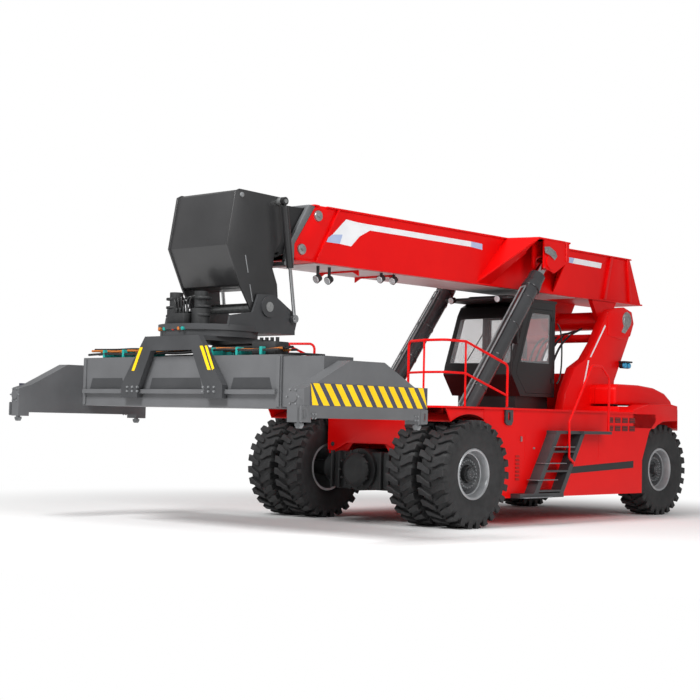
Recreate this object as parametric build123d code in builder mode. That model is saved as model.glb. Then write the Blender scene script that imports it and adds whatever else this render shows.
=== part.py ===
from build123d import *
import math
import os

# Reach stacker for 20 ft and 40 ft containers, parked with its boom down and retracted.
# Millimetres. +Z up, front of the machine toward -Y, its left side toward +X.
# The origin lies on the ground under the middle of the machine's outline.

os.makedirs("parts", exist_ok=True)

# ---------------------------------------------------------------- driving sizes
wheelbase = 6000
tyre_radius = 815
tyre_width = 500
rim_radius = 385
front_inner_x = 1190
front_outer_x = 1800
rear_wheel_x = 1400
kingpin_x = 980
steer_angle = 50

spreader_reach = 3600          # front axle to the middle of the spreader
spreader_depth = 2438          # a container's width
lock_spacing_x = 5853
lock_spacing_y = 2259
tail_reach = 7350              # front axle to the back of the counterweight

frame_half = 760
nose_half = 850
deck_half = 1950
deck_top = 1830
sheet = 12
plate = 30
heavy_plate = 60

boom_half = 500
boom_bottom = 3900
boom_top = 4760
boom_wall = 20
inner_half = 440
pad_gap = 0.3
pivot_reach = 5800             # front axle to the boom's pivot
pivot_z = 3530
pivot_pin_radius = 90

lift_x = 930
lift_base_reach = 880
lift_base_z = 1450
lift_eye_reach = 3250
lift_eye_z = 4370
lift_barrel_radius = 145
lift_rod_radius = 90
lift_pin_radius = 60
boom_travel = 6700

head_half = 620
head_pin_reach = 3100          # front axle forward to the spreader's hinge pin
head_pin_z = 3160
head_pin_radius = 70

side_shift = 800
telescope_travel = 3066
twist_shaft_radius = 32

cab_half = 740
cab_front = 2450
cab_back = 3880
cab_floor = 2060
cab_roof = 3700
cab_wall = 40

fit = 0.05                     # radial play of a pin in its bore
seat = 0.3                     # gap where parts of different bodies face each other
play = 20                      # side gap between a lug and its fork

# ---------------------------------------------------------------- places worked out
front_axle_y = (spreader_reach + spreader_depth / 2 - tail_reach) / 2
rear_axle_y = front_axle_y + wheelbase
tail_y = front_axle_y + tail_reach
spreader_y = front_axle_y - spreader_reach
pivot_y = front_axle_y + pivot_reach
head_pin_y = front_axle_y - head_pin_reach
lift_base_y = front_axle_y + lift_base_reach
lift_eye_y = front_axle_y + lift_eye_reach
lift_length = math.hypot(lift_eye_y - lift_base_y, lift_eye_z - lift_base_z)
wheel_gap = 60
side_front_y = front_axle_y + tyre_radius + wheel_gap
arch_swing = math.hypot(rear_wheel_x + tyre_width / 2 - kingpin_x, tyre_radius)
arch_front_y = rear_axle_y - arch_swing - 40
arch_roof_z = 2 * tyre_radius + 50
nose_y = front_axle_y - 150
deck_sheet = 30
deck_under = deck_top - deck_sheet
inner_top = boom_top - 70
inner_bottom = boom_bottom + 70


# ---------------------------------------------------------------- shape helpers
def outline_x(points, x_from, x_to, mode=Mode.ADD):
    """A (Y, Z) outline, solid between two X planes."""
    with BuildSketch(Plane.YZ.offset(x_from)) as face:
        with BuildLine():
            Polyline(*points, close=True)
        make_face()
    extrude(face.sketch, amount=x_to - x_from, mode=mode)


def outline_y(points, y_from, y_to, mode=Mode.ADD):
    """An (X, Z) outline, solid between two Y planes."""
    with BuildSketch(Plane.XZ.offset(-y_from)) as face:
        with BuildLine():
            Polyline(*points, close=True)
        make_face()
    extrude(face.sketch, amount=y_from - y_to, mode=mode)


def outline_z(points, z_from, z_to, mode=Mode.ADD):
    """An (X, Y) outline, solid between two heights."""
    with BuildSketch(Plane.XY.offset(z_from)) as face:
        with BuildLine():
            Polyline(*points, close=True)
        make_face()
    extrude(face.sketch, amount=z_to - z_from, mode=mode)


def block(x_from, x_to, y_from, y_to, z_from, z_to, mode=Mode.ADD):
    """A plain box by its faces."""
    corners = [(x_from, y_from), (x_to, y_from), (x_to, y_to), (x_from, y_to)]
    outline_z(corners, z_from, z_to, mode)


def rod(start, end, radius, mode=Mode.ADD):
    """A round bar between two points."""
    axis = Vector(*end) - Vector(*start)
    with BuildSketch(Plane(origin=start, z_dir=axis)) as face:
        Circle(radius)
    extrude(face.sketch, amount=axis.length, mode=mode)


def rod_x(y, z, radius, x_from, x_to, mode=Mode.ADD):
    """A round bar along X."""
    rod((x_from, y, z), (x_to, y, z), radius, mode)


def rod_z(x, y, radius, z_from, z_to, mode=Mode.ADD):
    """A round bar along Z."""
    rod((x, y, z_from), (x, y, z_to), radius, mode)


def at_front(reach):
    """Y of a point by its distance behind the front axle."""
    return front_axle_y + reach


def save(piece, name):
    """Labels a finished piece and writes its STEP file."""
    piece.part.label = name
    export_step(piece.part, f"parts/{name}.step")


def tyre(x_middle, y_axle):
    """A tyre about the X axis, out to the tips of its lugs."""
    half = tyre_width / 2
    shoulder = tyre_radius - 90
    bead = half - 45
    with BuildSketch(Plane.XY) as face:
        with BuildLine():
            Polyline(
                (x_middle - bead, y_axle + rim_radius),
                (x_middle - half, y_axle + rim_radius + 120),
                (x_middle - half, y_axle + shoulder),
                (x_middle - half + 45, y_axle + tyre_radius),
                (x_middle + half - 45, y_axle + tyre_radius),
                (x_middle + half, y_axle + shoulder),
                (x_middle + half, y_axle + rim_radius + 120),
                (x_middle + bead, y_axle + rim_radius),
                close=True,
            )
        make_face()
    axle = Axis((0, y_axle, 0), (1, 0, 0))
    with BuildPart(mode=Mode.PRIVATE) as ring:
        revolve(face.sketch, axis=axle)
    return ring.part.moved(Location((0, 0, tyre_radius)))


def wheel_turning(points, y_axle):
    """An (X, radius) outline turned about a wheel's axis."""
    with BuildSketch(Plane.XY) as face:
        with BuildLine():
            Polyline(*[(x, y_axle + radius) for x, radius in points], close=True)
        make_face()
    axle = Axis((0, y_axle, 0), (1, 0, 0))
    with BuildPart(mode=Mode.PRIVATE) as ring:
        revolve(face.sketch, axis=axle)
    return ring.part.moved(Location((0, 0, tyre_radius)))


# ---------------------------------------------------------------- wheels
spindle_radius = 120
hub_radius = 190
hub_wall = 60
rim_wall = 24
dish_wall = 30
for side, side_name in ((1, "left"), (-1, "right")):
    with BuildPart() as front_tyres:
        add(tyre(side * front_inner_x, front_axle_y))
        add(tyre(side * front_outer_x, front_axle_y))
    save(front_tyres, f"front_tyres_{side_name}")

    rim_in = front_inner_x - tyre_width / 2 + 45
    rim_out = front_outer_x + tyre_width / 2 - 45
    dish_x = front_outer_x + 60
    hub_end = front_outer_x + 190
    front_profile = [
        (rim_in, rim_radius - seat),
        (rim_in, rim_radius - rim_wall),
        (dish_x - dish_wall, rim_radius - rim_wall),
        (dish_x - dish_wall, hub_radius),
        (front_inner_x - 120, hub_radius),
        (front_inner_x - 120, spindle_radius + seat),
        (hub_end - hub_wall, spindle_radius + seat),
        (hub_end - hub_wall, 0),
        (hub_end, 0),
        (hub_end, hub_radius - 60),
        (hub_end - 60, hub_radius),
        (dish_x, hub_radius),
        (dish_x, rim_radius - rim_wall),
        (rim_out, rim_radius - rim_wall),
        (rim_out, rim_radius - seat),
    ]
    with BuildPart() as front_rim:
        add(wheel_turning([(side * x, radius) for x, radius in front_profile], front_axle_y))
    save(front_rim, f"front_rims_{side_name}")

    with BuildPart() as rear_tyre:
        add(tyre(side * rear_wheel_x, rear_axle_y))
    save(rear_tyre, f"rear_tyre_{side_name}")

    rear_in = rear_wheel_x - tyre_width / 2 + 45
    rear_out = rear_wheel_x + tyre_width / 2 - 45
    rear_dish = rear_wheel_x + 40
    rear_profile = [
        (rear_in, rim_radius - seat),
        (rear_in, rim_radius - rim_wall),
        (rear_dish - dish_wall, rim_radius - rim_wall),
        (rear_dish - dish_wall, hub_radius - 20),
        (rear_wheel_x - 120, hub_radius - 20),
        (rear_wheel_x - 120, spindle_radius - 30 + seat),
        (rear_dish + 70, spindle_radius - 30 + seat),
        (rear_dish + 70, 0),
        (rear_dish + 130, 0),
        (rear_dish + 130, hub_radius - 60),
        (rear_dish + 90, hub_radius - 20),
        (rear_dish, hub_radius - 20),
        (rear_dish, rim_radius - rim_wall),
        (rear_out, rim_radius - rim_wall),
        (rear_out, rim_radius - seat),
    ]
    with BuildPart() as rear_rim:
        add(wheel_turning([(side * x, radius) for x, radius in rear_profile], rear_axle_y))
    save(rear_rim, f"rear_rim_{side_name}")

# ---------------------------------------------------------------- axles
beam_half = front_inner_x - tyre_width / 2 - 40
axle_pad_z = tyre_radius + 230
with BuildPart() as drive_axle:
    rod_x(front_axle_y, tyre_radius, 210, -beam_half, beam_half)
    rod(
        (0, front_axle_y - 360, tyre_radius), (0, front_axle_y + 420, tyre_radius), 330
    )
    rod(
        (0, front_axle_y - 470, tyre_radius), (0, front_axle_y - 360, tyre_radius), 215
    )
    for side in (1, -1):
        block(side * 600, side * 730, front_axle_y - 130, front_axle_y + 130, tyre_radius,
              axle_pad_z)
    spindle_end = front_outer_x + 190 - hub_wall - play
    rod_x(front_axle_y, tyre_radius, spindle_radius, -spindle_end, spindle_end)
save(drive_axle, "drive_axle")

kingpin_radius = 45
kingpin_half = 330
fork_inner = 190
knuckle_turn = 130
steer_beam_z = tyre_radius
with BuildPart() as steer_axle:
    outline_y(
        [
            (-700, steer_beam_z - 150),
            (700, steer_beam_z - 150),
            (kingpin_x, steer_beam_z - fork_inner + 10),
            (kingpin_x, steer_beam_z + fork_inner - 10),
            (700, steer_beam_z + 170),
            (-700, steer_beam_z + 170),
            (-kingpin_x, steer_beam_z + fork_inner - 10),
            (-kingpin_x, steer_beam_z - fork_inner + 10),
        ],
        rear_axle_y - 150,
        rear_axle_y + 150,
    )
    for side in (1, -1):
        block(
            side * kingpin_x, side * (kingpin_x + 200),
            rear_axle_y - 160, rear_axle_y + 160,
            steer_beam_z - fork_inner, steer_beam_z + fork_inner, Mode.SUBTRACT,
        )
        rod_z(side * kingpin_x, rear_axle_y, 110, steer_beam_z - fork_inner,
              steer_beam_z + fork_inner)
        rod_z(side * kingpin_x, rear_axle_y, kingpin_radius, steer_beam_z - kingpin_half,
              steer_beam_z + kingpin_half)
    # pivot pads, fore and aft, that carry the frame
    block(-150, 150, rear_axle_y - 260, rear_axle_y + 260, steer_beam_z + 60,
          steer_beam_z + 170)
save(steer_axle, "steer_axle")

for side, side_name in ((1, "left"), (-1, "right")):
    with BuildPart() as knuckle:
        for way in (1, -1):
            z_near = steer_beam_z + way * (fork_inner + seat)
            z_far = steer_beam_z + way * (kingpin_half - 20)
            rod_z(side * kingpin_x, rear_axle_y, knuckle_turn - 20, z_near, z_far)
            block(
                side * kingpin_x, side * (kingpin_x + 200),
                rear_axle_y - 100, rear_axle_y + 100, z_near, z_far,
            )
        block(
            side * (kingpin_x + knuckle_turn), side * (kingpin_x + 200),
            rear_axle_y - 100, rear_axle_y + 100,
            steer_beam_z - kingpin_half + 20, steer_beam_z + kingpin_half - 20,
        )
        rod_z(side * kingpin_x, rear_axle_y, kingpin_radius + fit, steer_beam_z - 400,
              steer_beam_z + 400, Mode.SUBTRACT)
        rod_x(rear_axle_y, steer_beam_z, spindle_radius - 30, side * (kingpin_x + 190),
              side * (rear_wheel_x + 40 + 70 - play))
    save(knuckle, f"knuckle_{side_name}")

# ---------------------------------------------------------------- chassis
side_bottom = 430
side_outer = 1900
side_inner = frame_half
well_out = lift_x + lift_barrel_radius + 20
well_in = lift_x - lift_barrel_radius - 5
well_back = at_front(1560)
well_floor = 1250
tail_frame_half = 430
arch_profile = [
    (arch_front_y, side_bottom - 100),
    (arch_front_y, 1000),
    (arch_front_y + 230, 1500),
    (arch_front_y + 440, arch_roof_z),
    (tail_y + 100, arch_roof_z),
    (tail_y + 100, side_bottom - 100),
]
frame_rear_y = arch_front_y - 60

with BuildPart() as main_frame:
    for side in (1, -1):
        outline_x(
            [
                (nose_y + plate, 1060),
                (at_front(380), 1060),
                (at_front(520), 760),
                (frame_rear_y, 760),
                (frame_rear_y, deck_under),
                (nose_y + plate, deck_under),
            ],
            side * (frame_half - plate), side * frame_half,
        )
        block(
            side * (tail_frame_half - plate), side * tail_frame_half,
            frame_rear_y + plate, tail_y - 480, steer_beam_z + 170, arch_roof_z,
        )
        block(side * 600, side * (frame_half - plate), front_axle_y - 130,
              front_axle_y + 130, axle_pad_z, 1100)
    # nose plate with its arched lower edge over the axle
    outline_y(
        [
            (-nose_half, 1050), (-480, 1050), (-330, 1230), (330, 1230),
            (480, 1050), (nose_half, 1050), (nose_half, deck_under), (-nose_half, deck_under),
        ],
        nose_y, nose_y + plate,
    )
    block(-frame_half, frame_half, frame_rear_y, frame_rear_y + plate, 760, deck_under)
    for reach in (700, 2000, 3400):
        block(-frame_half + plate, frame_half - plate, at_front(reach),
              at_front(reach) + plate, 900, deck_under)
    for reach in (5150, 6250):
        block(-tail_frame_half + plate, tail_frame_half - plate, at_front(reach),
              at_front(reach) + 120, 1120, 1200)
    rod(
        (0, front_axle_y - 600, tyre_radius), (0, front_axle_y + 600, tyre_radius),
        340, Mode.SUBTRACT,
    )
save(main_frame, "main_frame")

with BuildPart() as side_bodies:
    for side in (1, -1):
        block(side * side_inner, side * side_outer, at_front(350), arch_front_y + 440,
              side_bottom, deck_under)
        block(side * well_in, side * well_out, at_front(300), well_back, well_floor,
              deck_under, Mode.SUBTRACT)
        outline_x(arch_profile, side * (side_inner - 10), side * (side_outer + 10),
                  Mode.SUBTRACT)
    rod_x(front_axle_y, tyre_radius, tyre_radius + wheel_gap, -side_outer - 10,
          side_outer + 10, Mode.SUBTRACT)
save(side_bodies, "side_bodies")

fork_gap = 80 + play
with BuildPart() as lift_brackets:
    for side in (1, -1):
        for near in (lift_x - fork_gap - plate, lift_x + fork_gap):
            outline_x(
                [
                    (lift_base_y - 70, well_floor),
                    (lift_base_y + 260, well_floor),
                    (lift_base_y + 260, well_floor + 60),
                    (lift_base_y + 110, lift_base_z + 60),
                    (lift_base_y - 60, lift_base_z + 110),
                    (lift_base_y - 110, lift_base_z + 40),
                ],
                side * near, side * (near + plate),
            )
        rod_x(lift_base_y, lift_base_z, lift_pin_radius, side * (lift_x - fork_gap),
              side * (lift_x + fork_gap))
save(lift_brackets, "lift_brackets")

hood_front_y = at_front(4650)
hood_back_y = at_front(7050)
hood_half = 1500
hood_split = 1080
hood_top = 2330
tower_in = 800
tower_out = 980
body_top = 1950
hood_floor = body_top

fender_edge = [
    (-nose_half, nose_y), (nose_half, nose_y), (nose_half + 50, front_axle_y - 420),
    (1500, front_axle_y - 700), (deck_half, front_axle_y - 700),
]
with BuildPart() as deck:
    right_edge = [(-x, y) for x, y in reversed(fender_edge[2:])]
    outline_z(
        fender_edge + [(deck_half, hood_front_y), (-deck_half, hood_front_y)] + right_edge,
        deck_under, deck_top,
    )
    for side in (1, -1):
        block(side * well_in, side * well_out, lift_base_y - 180, well_back + 60,
              deck_under - 10, deck_top + 10, Mode.SUBTRACT)
save(deck, "deck")

with BuildPart() as rear_body:
    outline_z(
        [
            (-side_outer, hood_front_y + seat), (side_outer, hood_front_y + seat),
            (side_outer, tail_y - 420), (side_outer - 320, tail_y),
            (320 - side_outer, tail_y), (-side_outer, tail_y - 420),
        ],
        deck_under, body_top,
    )
    outline_x(
        [
            (arch_front_y + 440, deck_under), (arch_front_y + 440, arch_roof_z),
            (tail_y - 60, arch_roof_z), (tail_y, deck_under),
        ],
        -side_outer, side_outer,
    )
    block(-hood_half + 60, hood_half - 60, hood_front_y + 100, hood_back_y - 100,
          arch_roof_z - 50, body_top + 10, Mode.SUBTRACT)
    block(-tower_out - 15, tower_out + 15, hood_front_y - 10, hood_front_y + 200,
          deck_under - 10, body_top + 10, Mode.SUBTRACT)
save(rear_body, "rear_body")

tow_half = 130
tow_low = 950
tow_high = 1060
tow_bore_radius = 25
tow_y = tail_y - 75
with BuildPart() as counterweight:
    block(-tail_frame_half, tail_frame_half, tail_y - 480, tail_y - 260, 850,
          arch_roof_z)
    block(-900, 900, tail_y - 260, tail_y - 20, 850, arch_roof_z)
    # towing jaw with its pin's bore
    block(-tow_half, tow_half, tail_y - 150, tail_y, tow_low, tow_high, Mode.SUBTRACT)
    rod_z(0, tow_y, tow_bore_radius, 840, tow_high + 120, Mode.SUBTRACT)
save(counterweight, "counterweight")

with BuildPart() as engine:
    block(-380, 380, at_front(5000), at_front(6500), 1200, 2150)
save(engine, "engine")


hood_side = [
    (hood_front_y, hood_floor),
    (hood_front_y, hood_top - 90),
    (hood_front_y + 70, hood_top),
    (hood_back_y - 750, hood_top),
    (hood_back_y - 120, hood_top - 150),
    (hood_back_y, hood_floor + 60),
    (hood_back_y, hood_floor),
]
hood_inside = [
    (hood_front_y + sheet, hood_floor - 10),
    (hood_front_y + sheet, hood_top - 110),
    (hood_front_y + 90, hood_top - sheet),
    (hood_back_y - 760, hood_top - sheet),
    (hood_back_y - 150, hood_top - 170),
    (hood_back_y - 30, hood_floor - 10),
]
with BuildPart() as hood_center:
    outline_x(hood_side, -hood_split + 10, hood_split - 10)
    outline_x(
        hood_inside,
        -hood_split + 10 + sheet, hood_split - 10 - sheet, Mode.SUBTRACT,
    )
    for side in (1, -1):
        block(side * (tower_in - 15), side * (hood_split + 10), hood_front_y - 10,
              at_front(5680), hood_floor - 20, hood_top + 20, Mode.SUBTRACT)
save(hood_center, "hood_center")

for side, side_name in ((1, "left"), (-1, "right")):
    with BuildPart() as hood_lid:
        outline_x(hood_side, side * hood_split,
                  side * hood_half)
        outline_x(hood_inside, side * (hood_split - 10), side * (hood_half - sheet),
                  Mode.SUBTRACT)
        block(side * (hood_split - 10), side * (hood_half + 10), hood_front_y - 10,
              hood_back_y + 10, hood_floor - 10, hood_floor + seat, Mode.SUBTRACT)
    save(hood_lid, f"hood_{side_name}")

# ---------------------------------------------------------------- boom tower
tower_profile = [
    (at_front(3790), deck_top),
    (at_front(4090), 2530),
    (at_front(4810), 3030),
    (at_front(5190), 3570),
    (at_front(5330), 3700),
    (at_front(5700), 3760),
    (at_front(5960), 3690),
    (at_front(6040), 3480),
    (at_front(5900), 3200),
    (at_front(5540), 2340),
    (at_front(5400), deck_top),
]
with BuildPart() as boom_towers:
    for side in (1, -1):
        outline_x(tower_profile, side * tower_in, side * tower_out)
    rod_x(at_front(5150), 3460, 50, -tower_in, tower_in)
    rod_x(pivot_y, pivot_z, pivot_pin_radius + fit, -tower_out - 10, tower_out + 10,
          Mode.SUBTRACT)
save(boom_towers, "boom_towers")

with BuildPart() as boom_pin:
    rod_x(pivot_y, pivot_z, pivot_pin_radius, -tower_out - 20, tower_out + 20)
    for side in (1, -1):
        rod_x(pivot_y, pivot_z, pivot_pin_radius + 60, side * tower_out,
              side * (tower_out + 20))
save(boom_pin, "boom_pin")

# ---------------------------------------------------------------- boom
boom_front_y = at_front(-2010)
boom_lean = 230
boom_rear_y = at_front(7080)
rear_lean = 420
lip = 40
lip_plate = 25
foot_radius = 170
foot_half = tower_in - 10
wing_out = lift_x + fork_gap + plate
wing_front_y = at_front(2700)
wing_peak_y = at_front(4350)
with BuildPart() as boom_outer:
    block(-boom_half, boom_half, boom_front_y, boom_rear_y, boom_bottom, boom_top)
    block(-boom_half - lip, boom_half + lip, boom_front_y, boom_rear_y,
          boom_bottom, boom_bottom + lip_plate)
    block(-boom_half - lip, boom_half + lip, boom_front_y, boom_rear_y,
          boom_top - lip_plate, boom_top)
    # foot: a cross tube on the pivot pin, hung from two webs
    for side in (1, -1):
        outline_x(
            [
                (pivot_y - 420, boom_bottom + 10), (pivot_y - 140, pivot_z - 60),
                (pivot_y + 140, pivot_z - 60), (pivot_y + 420, boom_bottom + 10),
            ],
            side * (boom_half - 80), side * boom_half,
        )
        # wing that carries the lift cylinder's upper pin
        for near in (lift_x - fork_gap - plate, lift_x + fork_gap):
            outline_x(
                [
                    (lift_eye_y - 190, lift_eye_z - 120),
                    (lift_eye_y + 130, lift_eye_z - 190),
                    (lift_eye_y + 560, lift_eye_z + 60),
                    (lift_eye_y + 560, boom_top - 10),
                    (lift_eye_y - 190, boom_top - 10),
                ],
                side * near, side * (near + plate),
            )
        outline_z(
            [
                (side * (boom_half - 5), wing_front_y), (side * wing_out, lift_eye_y - 200),
                (side * wing_out, lift_eye_y + 600), (side * (boom_half - 5), wing_peak_y),
            ],
            boom_top - lip_plate, boom_top,
        )
        block(side * (boom_half - 5), side * wing_out, lift_eye_y + 530,
              lift_eye_y + 560, lift_eye_z + 40, boom_top - 10)
        for near in (-fork_gap - plate - 20, fork_gap + plate):
            rod_x(lift_eye_y, lift_eye_z, 130, side * (lift_x + near),
                  side * (lift_x + near + 20))
    rod_x(pivot_y, pivot_z, foot_radius, -foot_half, foot_half)
    # hollow inside, open at the front
    block(-boom_half + boom_wall, boom_half - boom_wall, boom_front_y - 10,
          boom_rear_y - rear_lean - 40, boom_bottom + boom_wall, boom_top - boom_wall,
          Mode.SUBTRACT)
    outline_x(
        [
            (boom_front_y - 10, boom_bottom), (boom_front_y, boom_bottom),
            (boom_front_y + boom_lean, boom_top), (boom_front_y + boom_lean, boom_top + 10),
            (boom_front_y - 10, boom_top + 10),
        ],
        -boom_half - lip - 5, boom_half + lip + 5, Mode.SUBTRACT,
    )
    outline_x(
        [
            (boom_rear_y + 10, boom_bottom), (boom_rear_y, boom_bottom),
            (boom_rear_y - rear_lean, boom_top), (boom_rear_y - rear_lean, boom_top + 10),
            (boom_rear_y + 10, boom_top + 10),
        ],
        -boom_half - lip - 5, boom_half + lip + 5, Mode.SUBTRACT,
    )
    rod_x(pivot_y, pivot_z, pivot_pin_radius + fit, -foot_half - 5, foot_half + 5,
          Mode.SUBTRACT)
save(boom_outer, "boom_outer")

inner_front_y = at_front(-3300)
inner_overlap = 1860           # inner boom left inside the outer one at full reach
inner_rear_y = boom_front_y + inner_overlap + boom_travel
pad_front_y = boom_front_y + boom_lean + 40
with BuildPart() as boom_inner:
    block(-inner_half, inner_half, inner_front_y, inner_rear_y, inner_bottom, inner_top)
    block(-inner_half + boom_wall, inner_half - boom_wall, inner_front_y - 10,
          inner_rear_y - boom_wall, inner_bottom + boom_wall, inner_top - boom_wall,
          Mode.SUBTRACT)
save(boom_inner, "boom_inner")

with BuildPart() as boom_pads:
    for side in (1, -1):
        block(side * 120, side * (inner_half - 40), pad_front_y, pad_front_y + 350,
              boom_bottom + boom_wall, inner_bottom - pad_gap)
        block(side * 120, side * (inner_half - 40), pad_front_y, pad_front_y + 350,
              inner_top + pad_gap, boom_top - boom_wall)
        block(side * (inner_half + pad_gap), side * (boom_half - boom_wall), pad_front_y,
              pad_front_y + 350, 4100, 4250)
save(boom_pads, "boom_pads")

with BuildPart() as inner_pads:
    for side in (1, -1):
        block(side * 120, side * (inner_half - 40), inner_rear_y - 350, inner_rear_y,
              boom_bottom + boom_wall + pad_gap, inner_bottom)
        block(side * 120, side * (inner_half - 40), inner_rear_y - 350, inner_rear_y,
              inner_top, boom_top - boom_wall - pad_gap)
save(inner_pads, "inner_pads")

# ---------------------------------------------------------------- boom head
head_top = boom_top + 70
head_rear_y = at_front(-2800)
head_profile = [
    (head_rear_y, head_top - 30),
    (at_front(-3640), head_top),
    (at_front(-3740), 4060),
    (at_front(-3470), 3150),
    (head_pin_y - 160, head_pin_z - 90),
    (head_pin_y, head_pin_z - 170),
    (head_pin_y + 130, head_pin_z - 90),
    (head_pin_y + 150, head_pin_z + 100),
    (at_front(-2990), 3690),
    (head_rear_y, inner_bottom - 60),
]
with BuildPart() as boom_head:
    outline_x(head_profile, -head_half, head_half)
    outline_x(
        [
            (head_rear_y - plate, head_top - 30 - plate),
            (at_front(-3640) + plate, head_top - plate),
            (at_front(-3740) + plate, 4060),
            (at_front(-3470) + plate, 3150),
            (at_front(-3470) + plate, 2900),
            (head_pin_y + 300, 2900),
            (head_pin_y + 300, 3500),
            (at_front(-2990) - plate, 3690),
            (head_rear_y - plate, inner_bottom - 60),
        ],
        -head_half + plate, head_half - plate, Mode.SUBTRACT,
    )
    block(-inner_half, inner_half, head_rear_y - 40, head_rear_y + 10, inner_bottom,
          inner_top, Mode.SUBTRACT)
    rod_x(head_pin_y, head_pin_z, head_pin_radius + fit, -head_half - 10, head_half + 10,
          Mode.SUBTRACT)
save(boom_head, "boom_head")

damper_x = 725
damper_top_y = at_front(-2880)
damper_top_z = 4690
damper_low_y = at_front(-2620)
damper_low_z = 3020
damper_pin_radius = 30
damper_eye_half = 28
ear_in = 640
ear_out = 680
with BuildPart() as head_pins:
    rod_x(head_pin_y, head_pin_z, head_pin_radius, -ear_out - 30, ear_out + 30)
    for side in (1, -1):
        rod_x(damper_top_y, damper_top_z, 60, side * head_half,
              side * (damper_x - damper_eye_half - 2))
        rod_x(damper_top_y, damper_top_z, damper_pin_radius, side * head_half,
              side * (damper_x + damper_eye_half + 10))
save(head_pins, "head_pins")

# ---------------------------------------------------------------- rotator yoke
table_top = 2870
table_bottom = 2790
table_radius = 720
spigot_radius = 400
ring_radius = 690
ring_bottom = 2700
ear_profile = [
    (head_pin_y - 200, head_pin_z + 170),
    (head_pin_y + 110, head_pin_z + 180),
    (damper_low_y + 60, damper_low_z + 70),
    (damper_low_y + 100, damper_low_z - 30),
    (damper_low_y + 60, table_top - 20),
    (spreader_y - 260, table_top - 20),
    (spreader_y - 230, table_top + 130),
    (spreader_y + 200, table_top + 200),
]
with BuildPart() as yoke:
    rod_z(0, spreader_y, table_radius, table_bottom, table_top)
    block(-ear_out, ear_out, spreader_y, damper_low_y + 60, table_bottom, table_top)
    rod_z(0, spreader_y, spigot_radius, ring_bottom + 20, table_bottom + 10)
    for side in (1, -1):
        outline_x(ear_profile, side * ear_in, side * ear_out)
        rod_x(head_pin_y, head_pin_z, 150, side * ear_out, side * (ear_out + 25))
    rod_x(head_pin_y, head_pin_z, head_pin_radius + fit, -ear_out - 40, ear_out + 40,
          Mode.SUBTRACT)
save(yoke, "yoke")

motor_y = spreader_y - 400
with BuildPart() as slew_drives:
    for side in (1, -1):
        rod_z(side * 260, motor_y, 130, table_top, table_top + 220)
        rod_z(side * 260, motor_y, 95, table_top + 220, table_top + 460)
    block(-110, 110, motor_y - 120, motor_y + 60, table_top, table_top + 180)
save(slew_drives, "slew_drives")

# ---------------------------------------------------------------- dampers
damper_length = math.hypot(damper_low_y - damper_top_y, damper_low_z - damper_top_z)
damper_barrel_length = 960
lift_barrel_end = lift_length - 330


def along(start_y, start_z, end_y, end_z, distance):
    """(Y, Z) of the point this far from start toward end."""
    run = math.hypot(end_y - start_y, end_z - start_z)
    share = distance / run
    return start_y + (end_y - start_y) * share, start_z + (end_z - start_z) * share


def damper_point(x, distance):
    y, z = along(damper_top_y, damper_top_z, damper_low_y, damper_low_z, distance)
    return (x, y, z)


def lift_point(x, distance):
    y, z = along(lift_base_y, lift_base_z, lift_eye_y, lift_eye_z, distance)
    return (x, y, z)


damper_bore = 38
damper_pin_half = damper_x - ear_out - 6
with BuildPart() as damper_barrels:
    for x in (damper_x, -damper_x):
        rod(damper_point(x, 75), damper_point(x, damper_barrel_length), 52)
        rod(damper_point(x, 40), damper_point(x, 80), 26)
        rod_x(damper_top_y, damper_top_z, 58, x - damper_eye_half, x + damper_eye_half)
        rod(damper_point(x, 120), damper_point(x, damper_barrel_length + 5), damper_bore,
            Mode.SUBTRACT)
        rod_x(damper_top_y, damper_top_z, damper_pin_radius + fit, x - 60, x + 60,
              Mode.SUBTRACT)
save(damper_barrels, "damper_barrels")

with BuildPart() as damper_rods:
    for x in (damper_x, -damper_x):
        rod(damper_point(x, 700), damper_point(x, damper_length - 20), 26)
        rod(damper_point(x, 680), damper_point(x, 740), damper_bore - seat)
        rod(damper_point(x, damper_barrel_length - 60),
            damper_point(x, damper_barrel_length - 10), 26)
        rod_x(damper_low_y, damper_low_z, 58, x - damper_eye_half, x + damper_eye_half)
        rod_x(damper_low_y, damper_low_z, damper_pin_radius, x - damper_pin_half,
              x + damper_pin_half)
save(damper_rods, "damper_rods")

# ---------------------------------------------------------------- lift cylinders
lift_bore = lift_barrel_radius - 30
lift_eye_half = 80
with BuildPart() as lift_barrels:
    for x in (lift_x, -lift_x):
        rod(lift_point(x, 240), lift_point(x, lift_barrel_end), lift_barrel_radius)
        rod(lift_point(x, 100), lift_point(x, 245), 78)
        rod_x(lift_base_y, lift_base_z, 130, x - lift_eye_half, x + lift_eye_half)
        rod(lift_point(x, 300), lift_point(x, lift_barrel_end - 120), lift_bore,
            Mode.SUBTRACT)
        rod(lift_point(x, lift_barrel_end - 130), lift_point(x, lift_barrel_end + 10),
            lift_rod_radius + seat, Mode.SUBTRACT)
        rod_x(lift_base_y, lift_base_z, lift_pin_radius + fit, x - 100, x + 100,
              Mode.SUBTRACT)
save(lift_barrels, "lift_barrels")

with BuildPart() as lift_rods:
    for x in (lift_x, -lift_x):
        rod(lift_point(x, 310), lift_point(x, 470), lift_bore - seat)
        rod(lift_point(x, 460), lift_point(x, lift_length - 60), lift_rod_radius)
        rod_x(lift_eye_y, lift_eye_z, 140, x - lift_eye_half, x + lift_eye_half)
save(lift_rods, "lift_rods")

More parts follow.
